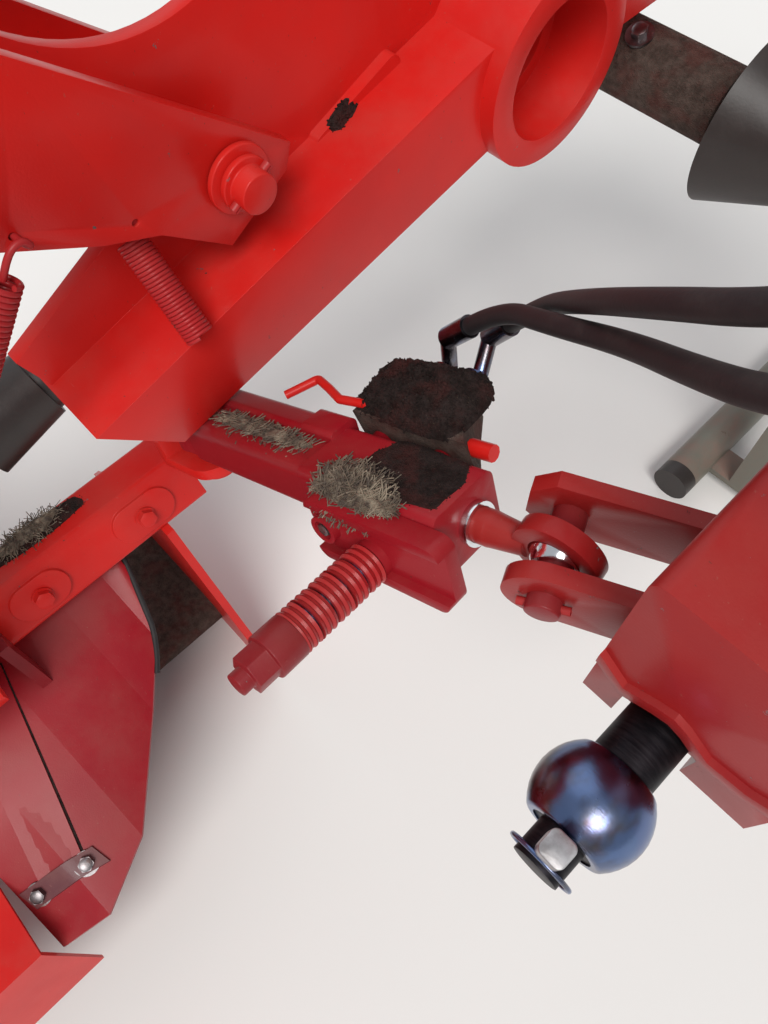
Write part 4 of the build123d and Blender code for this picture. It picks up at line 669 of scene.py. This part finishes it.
class Growth:
    """A geometry node tree under construction, with named inputs for its sizes."""

    def __init__(self, name):
        self.tree = bpy.data.node_groups.new(name, "GeometryNodeTree")
        self.tree.interface.new_socket("Geometry", in_out="INPUT", socket_type="NodeSocketGeometry")
        self.tree.interface.new_socket("Geometry", in_out="OUTPUT", socket_type="NodeSocketGeometry")
        self.start = self.tree.nodes.new("NodeGroupInput")

    def size(self, name, value):
        kind = "NodeSocketInt" if isinstance(value, int) else "NodeSocketFloat"
        self.tree.interface.new_socket(name, in_out="INPUT", socket_type=kind).default_value = value
        return self.start.outputs[name]

    def node(self, kind, settings=None, values=None, output=0):
        made = self.tree.nodes.new(kind)
        for key, value in (settings or {}).items():
            setattr(made, key, value)
        for key, value in (values or {}).items():
            if isinstance(value, bpy.types.NodeSocket):
                self.tree.links.new(value, made.inputs[key])
            else:
                made.inputs[key].default_value = value
        return made.outputs[output]

    def maths(self, operation, *values):
        return self.node("ShaderNodeMath", {"operation": operation}, dict(enumerate(values)))

    def vector(self, x=0.0, y=0.0, z=0.0):
        return self.node("ShaderNodeCombineXYZ", {}, {0: x, 1: y, 2: z})

    def moved(self, geometry, place):
        return self.node("GeometryNodeTransform", {}, {"Geometry": geometry, "Translation": place})

    def join(self, *parts):
        joined = self.tree.nodes.new("GeometryNodeJoinGeometry")
        for part in parts:
            self.tree.links.new(part, joined.inputs[0])
        return joined.outputs[0]

    def stood(self, points, instance, turn, **more):
        """The instance on every point, turned, and scaled where a scale is given."""
        values = {"Points": points, "Instance": instance, "Rotation": turn, **more}
        return self.node("GeometryNodeInstanceOnPoints", {}, values)

    def chance(self, low, high, seed):
        """A random value for every point, between two floats or two vectors."""
        if isinstance(low, tuple):
            return self.node("FunctionNodeRandomValue", {"data_type": "FLOAT_VECTOR"}, {0: low, 1: high, "Seed": seed})
        return self.node("FunctionNodeRandomValue", {"data_type": "FLOAT"}, {2: low, 3: high, "Seed": seed}, 1)

    def strewn(self, density, seed, instance, turn, scale):
        """The seed mesh with instances scattered over its faces."""
        heap = self.start.outputs["Geometry"]
        points = self.node(
            "GeometryNodeDistributePointsOnFaces",
            {"distribute_method": "RANDOM"},
            {"Mesh": heap, "Density": density, "Seed": seed},
        )
        return self.join(heap, self.stood(points, instance, turn, Scale=scale))

    def end(self, geometry, finish):
        real = self.node("GeometryNodeRealizeInstances", {}, {0: geometry})
        coated = self.node("GeometryNodeSetMaterial", {}, {"Geometry": real, "Material": finish_named(finish)})
        out = self.tree.nodes.new("NodeGroupOutput")
        self.tree.links.new(coated, out.inputs[0])
        return self

    def grow(self, name, sizes, body, slot, place=None, seed_mesh=None, smooth_angle=40):
        """A piece of this tree's making, with its inputs' sizes, on a seed mesh where it needs one."""
        piece = linked(name, seed_mesh or bpy.data.meshes.new(name))
        modifier = piece.modifiers.new(name, "NODES")
        modifier.node_group = self.tree
        for item in self.tree.interface.items_tree:
            if item.item_type == "SOCKET" and item.in_out == "INPUT" and item.name in sizes:
                modifier[item.identifier] = sizes[item.name]
        piece = plain_mesh(piece)
        if place is not None:
            piece.data.transform(place)
        smooth(piece.data, smooth_angle)
        return carried(piece, body)


def coil_growth():
    """A closed helical spring along z."""
    g = Growth("coil")
    turns, radius = g.size("Turns", 30.0), g.size("Radius", 0.01)
    length, wire = g.size("Length", 0.1), g.size("Wire", 0.0016)
    spiral = g.node(
        "GeometryNodeCurveSpiral",
        {},
        {"Resolution": 22, "Rotations": turns, "Start Radius": radius, "End Radius": radius, "Height": length},
    )
    section = g.node("GeometryNodeCurvePrimitiveCircle", {}, {"Resolution": 9, "Radius": wire})
    coil = g.node("GeometryNodeCurveToMesh", {}, {"Curve": spiral, "Profile Curve": section, "Fill Caps": True})
    return g.end(coil, "spring_paint")


# A cupped washer's upper rim and its depth, as shares of its radius and thickness
CUP_RIM = 0.93
CUP_DEPTH = 0.86


def washer_growth():
    """A row of cupped washers along z, in groups with a gap after each."""
    g = Growth("washers")
    count, in_group = g.size("Count", 25), g.size("In Group", 5)
    thickness, gap, radius = g.size("Thickness", 0.0025), g.size("Gap", 0.0019), g.size("Radius", 0.0158)
    row = g.node("GeometryNodeMeshLine", {}, {"Count": count, "Offset": g.vector(z=thickness)})
    index = g.node("GeometryNodeInputIndex")
    group = g.maths("FLOOR", g.maths("DIVIDE", g.maths("ADD", index, 0.5), in_group))
    spaced = g.node(
        "GeometryNodeSetPosition", {}, {"Geometry": row, "Offset": g.vector(z=g.maths("MULTIPLY", group, gap))}
    )
    rim, depth = g.maths("MULTIPLY", radius, CUP_RIM), g.maths("MULTIPLY", thickness, CUP_DEPTH)
    cup = g.node(
        "GeometryNodeMeshCone",
        {"fill_type": "NGON"},
        {"Vertices": 44, "Radius Top": rim, "Radius Bottom": radius, "Depth": depth},
    )
    odd = g.maths("FLOORED_MODULO", index, 2.0)
    lift = g.maths("MULTIPLY", odd, depth)
    standing = g.node("GeometryNodeSetPosition", {}, {"Geometry": spaced, "Offset": g.vector(z=lift)})
    return g.end(g.stood(standing, cup, g.vector(x=g.maths("MULTIPLY", odd, math.pi))), "spring_paint")


def straw_growth():
    """Bent straws strewn over a heap."""
    g = Growth("straws")
    density, length, seed = g.size("Density", 30000.0), g.size("Length", 0.03), g.size("Seed", 7)
    bend = g.node(
        "GeometryNodeCurveArc",
        {"mode": "RADIUS"},
        {"Resolution": 5, "Radius": length, "Start Angle": -0.5, "Sweep Angle": 1.0},
    )
    centred = g.moved(bend, g.vector(x=g.maths("MULTIPLY", length, -0.95)))
    section = g.node("GeometryNodeCurvePrimitiveCircle", {}, {"Resolution": 4, "Radius": 0.00042})
    stalk = g.node("GeometryNodeCurveToMesh", {}, {"Curve": centred, "Profile Curve": section, "Fill Caps": True})
    turn = g.chance((-0.3, -0.3, 0.0), (0.3, 0.3, 6.283), 11)
    scale = g.chance(0.35, 1.15, 12)
    return g.end(g.strewn(density, seed, stalk, turn, scale), "straw")


def crumb_growth():
    """Crumbs of dried soil over a heap, with the heap itself."""
    g = Growth("crumbs")
    density, crumb, seed = g.size("Density", 60000.0), g.size("Crumb", 0.002), g.size("Seed", 3)
    grain = g.node("GeometryNodeMeshIcoSphere", {}, {"Radius": crumb, "Subdivisions": 1})
    turn = g.chance((0.0, 0.0, 0.0), (6.28, 6.28, 6.28), 5)
    scale = g.chance((0.25, 0.2, 0.2), (1.15, 0.8, 0.7), 6)
    return g.end(g.strewn(density, seed, grain, turn, scale), "soil")


def bolt_growth(finish):
    """Hexagon bolts, each on a washer, that face the way their points say; the head is one wide."""
    g = Growth("bolts")
    head, washer = g.size("Head Height", 0.62), g.size("Washer Radius", 0.95)
    disc = g.node("GeometryNodeMeshCylinder", {}, {"Vertices": 30, "Radius": washer, "Depth": 0.2})
    prism = g.node("GeometryNodeMeshCylinder", {}, {"Vertices": 6, "Radius": 0.577, "Depth": head})
    cone = {"Vertices": 24, "Radius Top": 0.36, "Radius Bottom": 0.5, "Depth": 0.07}
    bolt = g.join(
        g.moved(disc, (0, 0, 0.08)),
        g.moved(prism, g.vector(z=g.maths("MULTIPLY", head, 0.5))),
        g.moved(g.node("GeometryNodeMeshCone", {}, cone), g.vector(z=head)),
    )
    facing = g.node("GeometryNodeInputNamedAttribute", {"data_type": "FLOAT_VECTOR"}, {"Name": "facing"})
    across = g.node("GeometryNodeInputNamedAttribute", {"data_type": "FLOAT"}, {"Name": "across"})
    stand = g.node("FunctionNodeAlignRotationToVector", {"axis": "Z"}, {"Vector": facing})
    return g.end(g.stood(g.start.outputs["Geometry"], bolt, stand, Scale=across), finish)


# Operators

# Nodes seen from near: the finish and slot of each, and the width of its rounded edges in metres
SOFTENED = {
    # The headstock beam takes the darker red, which is partly dust and partly painted shade
    "headstock_beam": ("dust_and_shade_red", "red_paint", 0.0050),
    "mast": ("red_paint", "red_paint", 0.0015),
    "arm_beam": ("red_paint", "red_paint", 0.0025),
    # The strut's housing and lever take the darker copy of the red paint, as painted shade
    "strut_housing": ("painted_shade_red", "red_paint", 0.0022),
    "clamp_lever": ("painted_shade_red", "red_paint", 0.0020),
    "lift_frame": ("red_paint", "red_paint", 0.0012),
    "carrier_beam": ("red_paint", "red_paint", 0.0015),
    "lift_pin": ("red_paint", "dark_red_paint", 0.0015),
    # The strut's rod takes the same darker red, partly dust and partly painted shade
    "strut_rod": ("dust_and_shade_red", "red_paint", 0.0015),
    "stack_rod": ("dark_red_paint", "dark_red_paint", 0.0010),
    "clevis_pin": ("dark_red_paint", "dark_red_paint", 0.0012),
    "hitch_pins": ("black_sleeve", "dark_steel", 0.0012),
    "linchpins": ("bright_steel", "bright_steel", 0.0012),
    "gearbox": ("dirty_cast", "dirty_cast", 0.0020),
    "bevel_gearbox": ("dirty_cast", "dirty_cast", 0.0020),
}

# The finishes of the nodes that stay as they are
PAINTED_NODES = {
    "bright_steel": ("top_link_pin", "arm_pivot_pin", "hose_couplers", "cylinder_pin", "strut_pin", "drive_shaft"),
    "dark_steel": ("hitch_balls", "hose_fittings"),
    "chrome_rod": ("strut_eye_ball", "lift_rod"),
    "worn_skid": ("skids",),
    "disc_paint": tuple(f"disc_{k}" for k in range(1, 7)),
    "grey_paint": ("stand_leg",),
    "black_plastic": ("stand_caps", "shaft_guard", "cross_shaft_inner", "cross_shaft_outer"),
    "dirty_cast": ("valve_block", "gear_bed"),
    "red_paint": ("release_lever", "lift_cylinder", "end_shoes", "canopy", "front_guard", "outer_guard", "swath_board"),
    # The inner guard panel takes the darker copy of the red paint, as painted shade
    "painted_shade_red": ("inner_guard_panel",),
    "dark_red_paint": ("guard_brackets",),
}


class MOWER_OT_frame(bpy.types.Operator):
    """Give every solid of the frame its finish, with rounded edges on the pieces seen from near"""

    bl_idname = "mower.frame"
    bl_label = "Frame"

    def execute(self, context):
        for node, (finish, slot, width) in SOFTENED.items():
            soften(node, finish, width)
        for finish, nodes in PAINTED_NODES.items():
            for node in nodes:
                paint_node(node, finish)
        return {"FINISHED"}


# Two tension springs: name, start and end of the coil, its radius and its wire's radius, and the hook's points
COIL_GAP = 0.12
HOOK_WIRE = 2.2
SPRINGS = (
    ("long_spring", (-398, -548, 856), (-398, -634, 764), 11.0, 1.8, (
        (-398, -549.5, 854.5), (-398, -541, 866), (-398, -530, 870), (-398, -526, 863), (-404, -528, 861),
        (-421, -530, 862), (-428, -530, 862),
    )),
    ("short_spring", (-438, -462, 798), (-385, -461, 740), 11.2, 1.4, (
        (-437, -462, 796.5), (-444, -462, 806), (-446, -462, 820), (-443, -462, 826), (-432, -462, 826),
        (-415, -462, 826),
    )),
)


class MOWER_OT_springs(bpy.types.Operator):
    """Wind the two tension springs at the suspension plate, with their wire hooks"""

    bl_idname = "mower.springs"
    bl_label = "Springs"

    def execute(self, context):
        coil = coil_growth()
        for name, start, end, radius, wire, hook in SPRINGS:
            start, end = at(*start), at(*end)
            run = end - start
            sizes = {
                "Turns": run.length * 1000 / (2 * wire + COIL_GAP),
                "Radius": (radius - wire) / 1000,
                "Length": run.length - 2 * wire / 1000,
                "Wire": wire / 1000,
            }
            place = frame_matrix(start + run.normalized() * wire / 1000, Vector((1, 0.2, 0)), run)
            piece = coil.grow(name, sizes, "cutter_unit", "dark_red_paint", place)
            if name == "long_spring":
                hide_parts("tension_springs")
            line = [at(*place) for place in hook]
            wire_piece(name + "_hook", line, HOOK_WIRE, "spring_paint", "cutter_unit")
        return {"FINISHED"}


# The stack of spring washers across the strut's body, in millimetres: where it stands, and its washers' measures
STACK_U = 112
STACK_N = -14
STACK_START = 51.3
STACK_END = 120.5
WASHER_RADIUS = 15.8
WASHER_THICKNESS = 2.5
GROUP_GAP = 1.9
COLLAR_RADII = (8.5, 11.6)


class MOWER_OT_washers(bpy.types.Operator):
    """Stack the cupped spring washers of the break-away strut on their rod"""

    bl_idname = "mower.washers"
    bl_label = "Spring Washers"

    def execute(self, context):
        first = STACK_START + WASHER_THICKNESS / 2
        sizes = {"Thickness": WASHER_THICKNESS, "Gap": GROUP_GAP, "Radius": WASHER_RADIUS}
        sizes = {"Count": 25, "In Group": 5, **{name: size / 1000 for name, size in sizes.items()}}
        place = frame_matrix(on_body(STACK_U, first, STACK_N), STRUT_U, BODY_S)
        piece = washer_growth().grow("spring_washers", sizes, "strut", "dark_red_paint", place)
        inner, outer = COLLAR_RADII
        top = STACK_END - STACK_START
        outline = ((inner, 0.2), (outer, 0.2), (outer, top), (inner, top))
        place = frame_matrix(on_body(STACK_U, STACK_START, STACK_N), STRUT_U, BODY_S)
        turned_piece("washer_collars", outline, place, "dark_steel", "strut")
        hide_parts("spring_stack")
        return {"FINISHED"}


# Roll pins: name, middle, the ways of the slit and of the pin, length and radius in millimetres, and body
CLEVIS_CROSS = STRUT_EYE + CLEVIS_AXIS * 33.5 / 1000
ROLL_PINS = (
    ("lift_roll_pin", at(-397.5, -386, 814), Vector((1, 0, 0)), Vector((0, -0.9, -0.435)), 38, 3.4, "arm"),
    ("clevis_roll_pin", CLEVIS_CROSS, CLEVIS_AXIS, CLEVIS_SIDE + Vector((0, 0, 0.25)), 31, 2.6, "headstock"),
)

# The ring that wipes the strut's rod: its place along the strut and its outline, in millimetres
WIPER_U = 56.4
WIPER_OUTLINE = ((12.3, 0), (15.2, 0), (15.6, 1.0), (15.2, 5.6), (12.3, 6.2))

# The valve's round knob: its ends, and its radius in millimetres
KNOB_ENDS = (on_valve(90, -55, 9), on_valve(71, -55, 9))
KNOB_RADIUS = 6.2

# The linchpins' wire rings, in millimetres
PIN_RING_RADIUS = 18.5
PIN_RING_WIRE = 1.3
PIN_RING_LEAN = 1.2
PIN_RING_Y = 543.5
PIN_RING_Z = 742
PIN_RING_POINTS = 14


class MOWER_OT_small_pins(bpy.types.Operator):
    """Add the roll pins, the wiper ring at the strut's mouth, the valve's knob and the linchpins' wire rings"""

    bl_idname = "mower.small_pins"
    bl_label = "Roll Pins and Rings"

    def execute(self, context):
        for name, middle, slit_way, along, length, radius, body in ROLL_PINS:
            place = frame_matrix(middle, slit_way, along)
            split_tube(name, place, length, radius, "spring_paint", body)
        place = frame_matrix(on_body(WIPER_U, 0, 0), BODY_S, STRUT_U)
        turned_piece("strut_wiper", WIPER_OUTLINE, place, "chrome_rod", "strut", steps=56)
        wire_piece("valve_knob", KNOB_ENDS, KNOB_RADIUS, "red_paint", "strut", order=2)
        for name, side in (("right_pin_ring", -1), ("left_pin_ring", 1)):
            points = []
            for k in range(PIN_RING_POINTS):
                out, up = math.sin(math.tau * k / PIN_RING_POINTS), math.cos(math.tau * k / PIN_RING_POINTS)
                y, z = PIN_RING_Y + PIN_RING_LEAN * up, PIN_RING_Z + PIN_RING_RADIUS * up
                points.append(at(PIN_RING_RADIUS * out, side * y, z))
            wire_piece(name, points, PIN_RING_WIRE, "dark_steel", "headstock", closed=True)
        return {"FINISHED"}


# Bolts are painted or plain: finish, slot, and the radius of the washer under a head one wide
PAINTED = ("red_paint", "dark_red_paint", 0.66)
PLAIN = ("bolt_steel", "bright_steel", 0.95)
UPWARD = Vector((0, 0, 1))

# Each row has the piece's name, the nodes that the bolts stand on, their body, kind and width in millimetres, the way
# that they face, and the places that their seats are looked for from. With no node they stand at the places
# themselves, and with no places they ring the node's top.
BOLTS = (
    ("carrier_bolts", ("carrier_beam",), "cutter_unit", PAINTED, 17, Vector((1, 0, 0.5)).normalized(), (
        at(-440, -555, 460), at(-440, -686, 460),
    )),
    ("strap_bolts", ("inner_guard_panel", "front_guard"), "cutter_unit", PLAIN, 14, UPWARD, (
        at(-297, -830, 380), at(-309, -884, 380),
    )),
    ("lever_bolt", (), "strut", PLAIN, 9, BODY_S, (on_body(153, 45.2, -3),)),
    ("gearbox_bolts", ("gearbox",), "arm", PLAIN, 15, UPWARD, ()),
    ("bevel_bolts", ("bevel_gearbox",), "cutter_unit", PLAIN, 15, UPWARD, ()),
    ("bed_bolts", ("gear_bed",), "cutter_unit", PLAIN, 15, UPWARD, tuple(
        at(-610 + side, -950 - 400 * k, 200) for k in range(5) for side in (-62, 62)
    )),
)

# A ring of bolts: how many, its radius as a share of the node's width, its turn, and the height looked for from
RING_BOLTS = 6
RING_SHARE = 0.36
RING_TURN = 0.3
RING_ABOVE = 0.05


class MOWER_OT_bolts(bpy.types.Operator):
    """Stand the bolts on the carrier, the guard, the gearboxes and the cutterbar"""

    bl_idname = "mower.bolts"
    bl_label = "Bolts"

    def execute(self, context):
        growths = {kind: bolt_growth(kind[0]) for kind in (PAINTED, PLAIN)}
        for name, nodes, body, kind, across, way, places in BOLTS:
            if nodes:
                found = [surface_under(nodes, place, -way) for place in places or self.ring_on(nodes[0])]
            else:
                found = [(place, way) for place in places]
            rows = [(*seat, across) for seat in found if seat]
            _, slot, washer = kind
            growths[kind].grow(name, {"Washer Radius": washer}, body, slot, seed_mesh=marked_points(rows))
        return {"FINISHED"}

    def ring_on(self, node):
        """Places over the top of a node's own box, in a ring well inside its rim."""
        low, high = (Vector(corner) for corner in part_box(node))
        middle = (low + high) / 2
        reach = min(high.x - low.x, high.y - low.y) * RING_SHARE
        turns = [k * math.tau / RING_BOLTS + RING_TURN for k in range(RING_BOLTS)]
        top = high.z + RING_ABOVE
        return [Vector((middle.x + reach * math.cos(turn), middle.y + reach * math.sin(turn), top)) for turn in turns]


class MOWER_OT_guard_trim(bpy.types.Operator):
    """Lay the second guard sheet's edge, the rubber edging and the wear strip on the inner guard"""

    bl_idname = "mower.guard_trim"
    bl_label = "Guard Trim"

    def execute(self, context):
        over = "inner_guard_panel"
        # The overlapping sheet takes the darker copy of the red paint, as painted shade, like the panel under it
        lay_strip("guard_overlap", (-500, -768), (-306, -828), (0, -52), 2.4, over, "painted_shade_red")
        lay_strip("guard_seam", (-502, -766), (-304, -826), (0, -2.6), 0.9, over, "soil")
        lay_strip("guard_strap", (-283, -812), (-300, -896), (-22, -4), 3.0, over, "worn_strap")
        edge = ((-512, -600, 378), (-497, -604, 371), (-465, -617, 348), (-431, -631, 321), (-402, -656, 311))
        line = [at(*place) for place in edge]
        wire_piece("rubber_edging", line, 3.4, "black_rubber", "cutter_unit")
        return {"FINISHED"}


# Soil: name, place, the ways along it and up from it, half sizes and height in millimetres, the heap's and the
# crumbs' seed, body, crumb's radius in millimetres, and crumbs per square metre
SIDEWAYS = Vector((0, 1, 0))
SOIL = (
    ("housing_soil", on_body(107, 4, 25.7), STRUT_U, BODY_N, 43, 27, 1.8, 3, "strut", 1.2, 160000),
    ("valve_soil", on_valve(140, -74, 23), STRUT_U, STRUT_N, 56, 30, 15.0, 8, "strut", 2.4, 90000),
    ("valve_side_soil", on_valve(148, -101, 4), STRUT_U, -STRUT_S, 30, 16, 5.0, 5, "strut", 2.2, 90000),
    ("rib_soil", at(-448, -262, 772), Vector((0, 1, 0.3)), Vector((1, 0, 0.6)), 17, 10, 5.0, 12, "arm", 2.2, 90000),
    ("carrier_soil", at(-546, -650, 459.6), SIDEWAYS, UPWARD, 60, 11, 3.0, 21, "cutter_unit", 2.0, 70000),
)

# Hay: the same to the body, then its share of the straws in a tuft
HAY = (
    ("lever_straw", on_body(128, 36, 22.5), STRUT_U, BODY_N + BODY_S * 0.7, 36, 11, 4.0, 31, "strut", 1.9),
    ("housing_straw", on_body(136, 22, 25.8), STRUT_U, BODY_N, 30, 10, 2.5, 33, "strut", 1.3),
    ("barrel_straw", on_body(262, 6, 21.8), STRUT_U, BODY_N, 66, 7, 2.5, 36, "strut", 0.9),
    ("carrier_straw", at(-549, -655, 460), SIDEWAYS, UPWARD, 38, 9, 8.0, 41, "cutter_unit", 0.7),
)
STRAW_LENGTH = 0.024

# Soil heaps are blockier than an oval, whose corner is 1
SOIL_CORNER = 0.6


class MOWER_OT_dirt(bpy.types.Operator):
    """Cake the strut and its valve with soil, and leave tufts of hay where they caught"""

    bl_idname = "mower.dirt"
    bl_label = "Soil and Hay"

    def execute(self, context):
        settings = context.scene.mower_soil
        crumbs, straws = crumb_growth(), straw_growth()
        for name, place, along, up, half_x, half_y, height, seed, body, crumb, density in SOIL:
            sizes = {"Density": float(density), "Crumb": crumb / 1000, "Seed": seed}
            heap = mound(half_x, half_y, height, seed, SOIL_CORNER)
            crumbs.grow(name, sizes, body, "dirty_cast", frame_matrix(place, along, up), heap, 60)
        for name, place, along, up, half_x, half_y, height, seed, body, share in HAY:
            area = math.pi * half_x * half_y / 1e6
            density = settings.straws * share / area / 2
            sizes = {"Density": density, "Length": STRAW_LENGTH, "Seed": settings.seed + seed}
            heap = mound(half_x, half_y, height, seed)
            straws.grow(name, sizes, body, "dirty_cast", frame_matrix(place, along, up), heap, 60)
        return {"FINISHED"}


# Hoses: name, length in metres, and the points that their solids follow too
HOSE_DIAMETER = 0.0134
HOSES = (
    ("hose_a", 0.547, (
        (-240, -300, 736), (-217, -297, 772), (-168, -334, 842), (-113, -373, 914), (-72, -392, 958),
        (-26, -396, 1003), (38, -386, 1002), (82, -378, 953), (82, -378, 889),
    )),
    ("hose_b", 0.5635, (
        (-258, -322, 738), (-236, -316, 768), (-184, -336, 812), (-130, -352, 855), (-84, -386, 907),
        (-51, -414, 951), (-4, -424, 996), (60, -426, 996), (105, -426, 951), (105, -426, 889),
    )),
)


class MOWER_OT_hoses(bpy.types.Operator):
    """Lay the two hydraulic hoses from the valve block over the headstock"""

    bl_idname = "mower.hoses"
    bl_label = "Hoses"

    def execute(self, context):
        for name, length, route in HOSES:
            route = [at(*place) for place in route]
            line = nurbs_line(name + "_line", route, HOSE_DIAMETER / 2, "black_rubber", 3, False, 6, 12)
            piece = carried(line, "headstock")
            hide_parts(name)
        return {"FINISHED"}


# The camera's own directions and its place, in metres
CAMERA_RIGHT = Vector((0.68784, 0.72390, -0.05330))
CAMERA_UP = Vector((-0.63068, 0.63239, 0.44982))
CAMERA_PLACE = Vector((0.6506, 0.71175, 1.16))


class MOWER_OT_stage(bpy.types.Operator):
    """Set up the pale floor, the soft studio lights and the camera"""

    bl_idname = "mower.stage"
    bl_label = "Stage"

    def execute(self, context):
        settings = context.scene.mower_stage
        bm = bmesh.new()
        bmesh.ops.create_grid(bm, x_segments=1, y_segments=1, size=settings.floor_size / 2)
        mesh = bpy.data.meshes.new("floor")
        bm.to_mesh(mesh)
        bm.free()
        colour = (*settings.floor_colour, 1.0)
        mesh.materials.append(Finish("floor").done(Base_Color=colour, Roughness=0.9, Specular_IOR_Level=0.1))
        linked("floor", mesh)

        world = bpy.data.worlds.new("studio")
        world.use_nodes = True
        background = world.node_tree.nodes["Background"]
        background.inputs["Color"].default_value = (0.93, 0.96, 1.0, 1.0)
        background.inputs["Strength"].default_value = settings.sky_strength
        context.scene.world = world

        self.light("key", Vector((-1.3, 1.3, -2.6)), 30, settings.key_power, (1.0, 0.98, 0.95))
        self.light("fill", Vector((1.6, -0.6, -2.0)), 60, settings.fill_power, (0.95, 0.97, 1.0))

        camera_data = bpy.data.cameras.new("camera")
        camera_data.lens = settings.lens
        camera_data.sensor_width = 36
        camera_data.clip_start = 0.01
        camera = linked("camera", camera_data)
        turn = Matrix((CAMERA_RIGHT, CAMERA_UP, CAMERA_RIGHT.cross(CAMERA_UP))).transposed().to_4x4()
        camera.matrix_world = Matrix.Translation(CAMERA_PLACE) @ turn
        context.scene.camera = camera
        context.scene.view_settings.view_transform = "Standard"
        return {"FINISHED"}

    def light(self, name, direction, spread, strength, colour):
        """A broad, even lamp from far off, whose spread in degrees softens its shadows."""
        data = bpy.data.lights.new(name, "SUN")
        data.angle = math.radians(spread)
        data.energy = strength
        data.color = colour
        linked(name, data).rotation_euler = direction.to_track_quat("-Z", "Y").to_euler()


PIECE_OPERATORS = (
    MOWER_OT_stage,
    MOWER_OT_hoses,
    MOWER_OT_frame,
    MOWER_OT_springs,
    MOWER_OT_washers,
    MOWER_OT_small_pins,
    MOWER_OT_bolts,
    MOWER_OT_guard_trim,
    MOWER_OT_dirt,
)


class MOWER_PT_panel(bpy.types.Panel):
    bl_idname = "MOWER_PT_panel"
    bl_label = "Disc Mower"
    bl_space_type = "VIEW_3D"
    bl_region_type = "UI"
    bl_category = "Disc Mower"

    def draw(self, context):
        for group in ("mower_paint", "mower_soil", "mower_stage"):
            settings = getattr(context.scene, group)
            for name in settings.bl_rna.properties.keys():
                if name not in ("rna_type", "name"):
                    self.layout.prop(settings, name)
        for operator in PIECE_OPERATORS:
            self.layout.operator(operator.bl_idname)


SETTINGS = (("mower_paint", PaintSettings), ("mower_soil", SoilSettings), ("mower_stage", StageSettings))


def register():
    for name, group in SETTINGS:
        bpy.utils.register_class(group)
        setattr(bpy.types.Scene, name, PointerProperty(type=group))
    for operator in PIECE_OPERATORS:
        bpy.utils.register_class(operator)
    bpy.utils.register_class(MOWER_PT_panel)


def unregister():
    bpy.utils.unregister_class(MOWER_PT_panel)
    for operator in reversed(PIECE_OPERATORS):
        bpy.utils.unregister_class(operator)
    for name, group in reversed(SETTINGS):
        delattr(bpy.types.Scene, name)
        bpy.utils.unregister_class(group)


def main():
    register()
    for operator in PIECE_OPERATORS:
        group, name = operator.bl_idname.split(".")
        getattr(getattr(bpy.ops, group), name)()


if __name__ == "__main__":
    main()
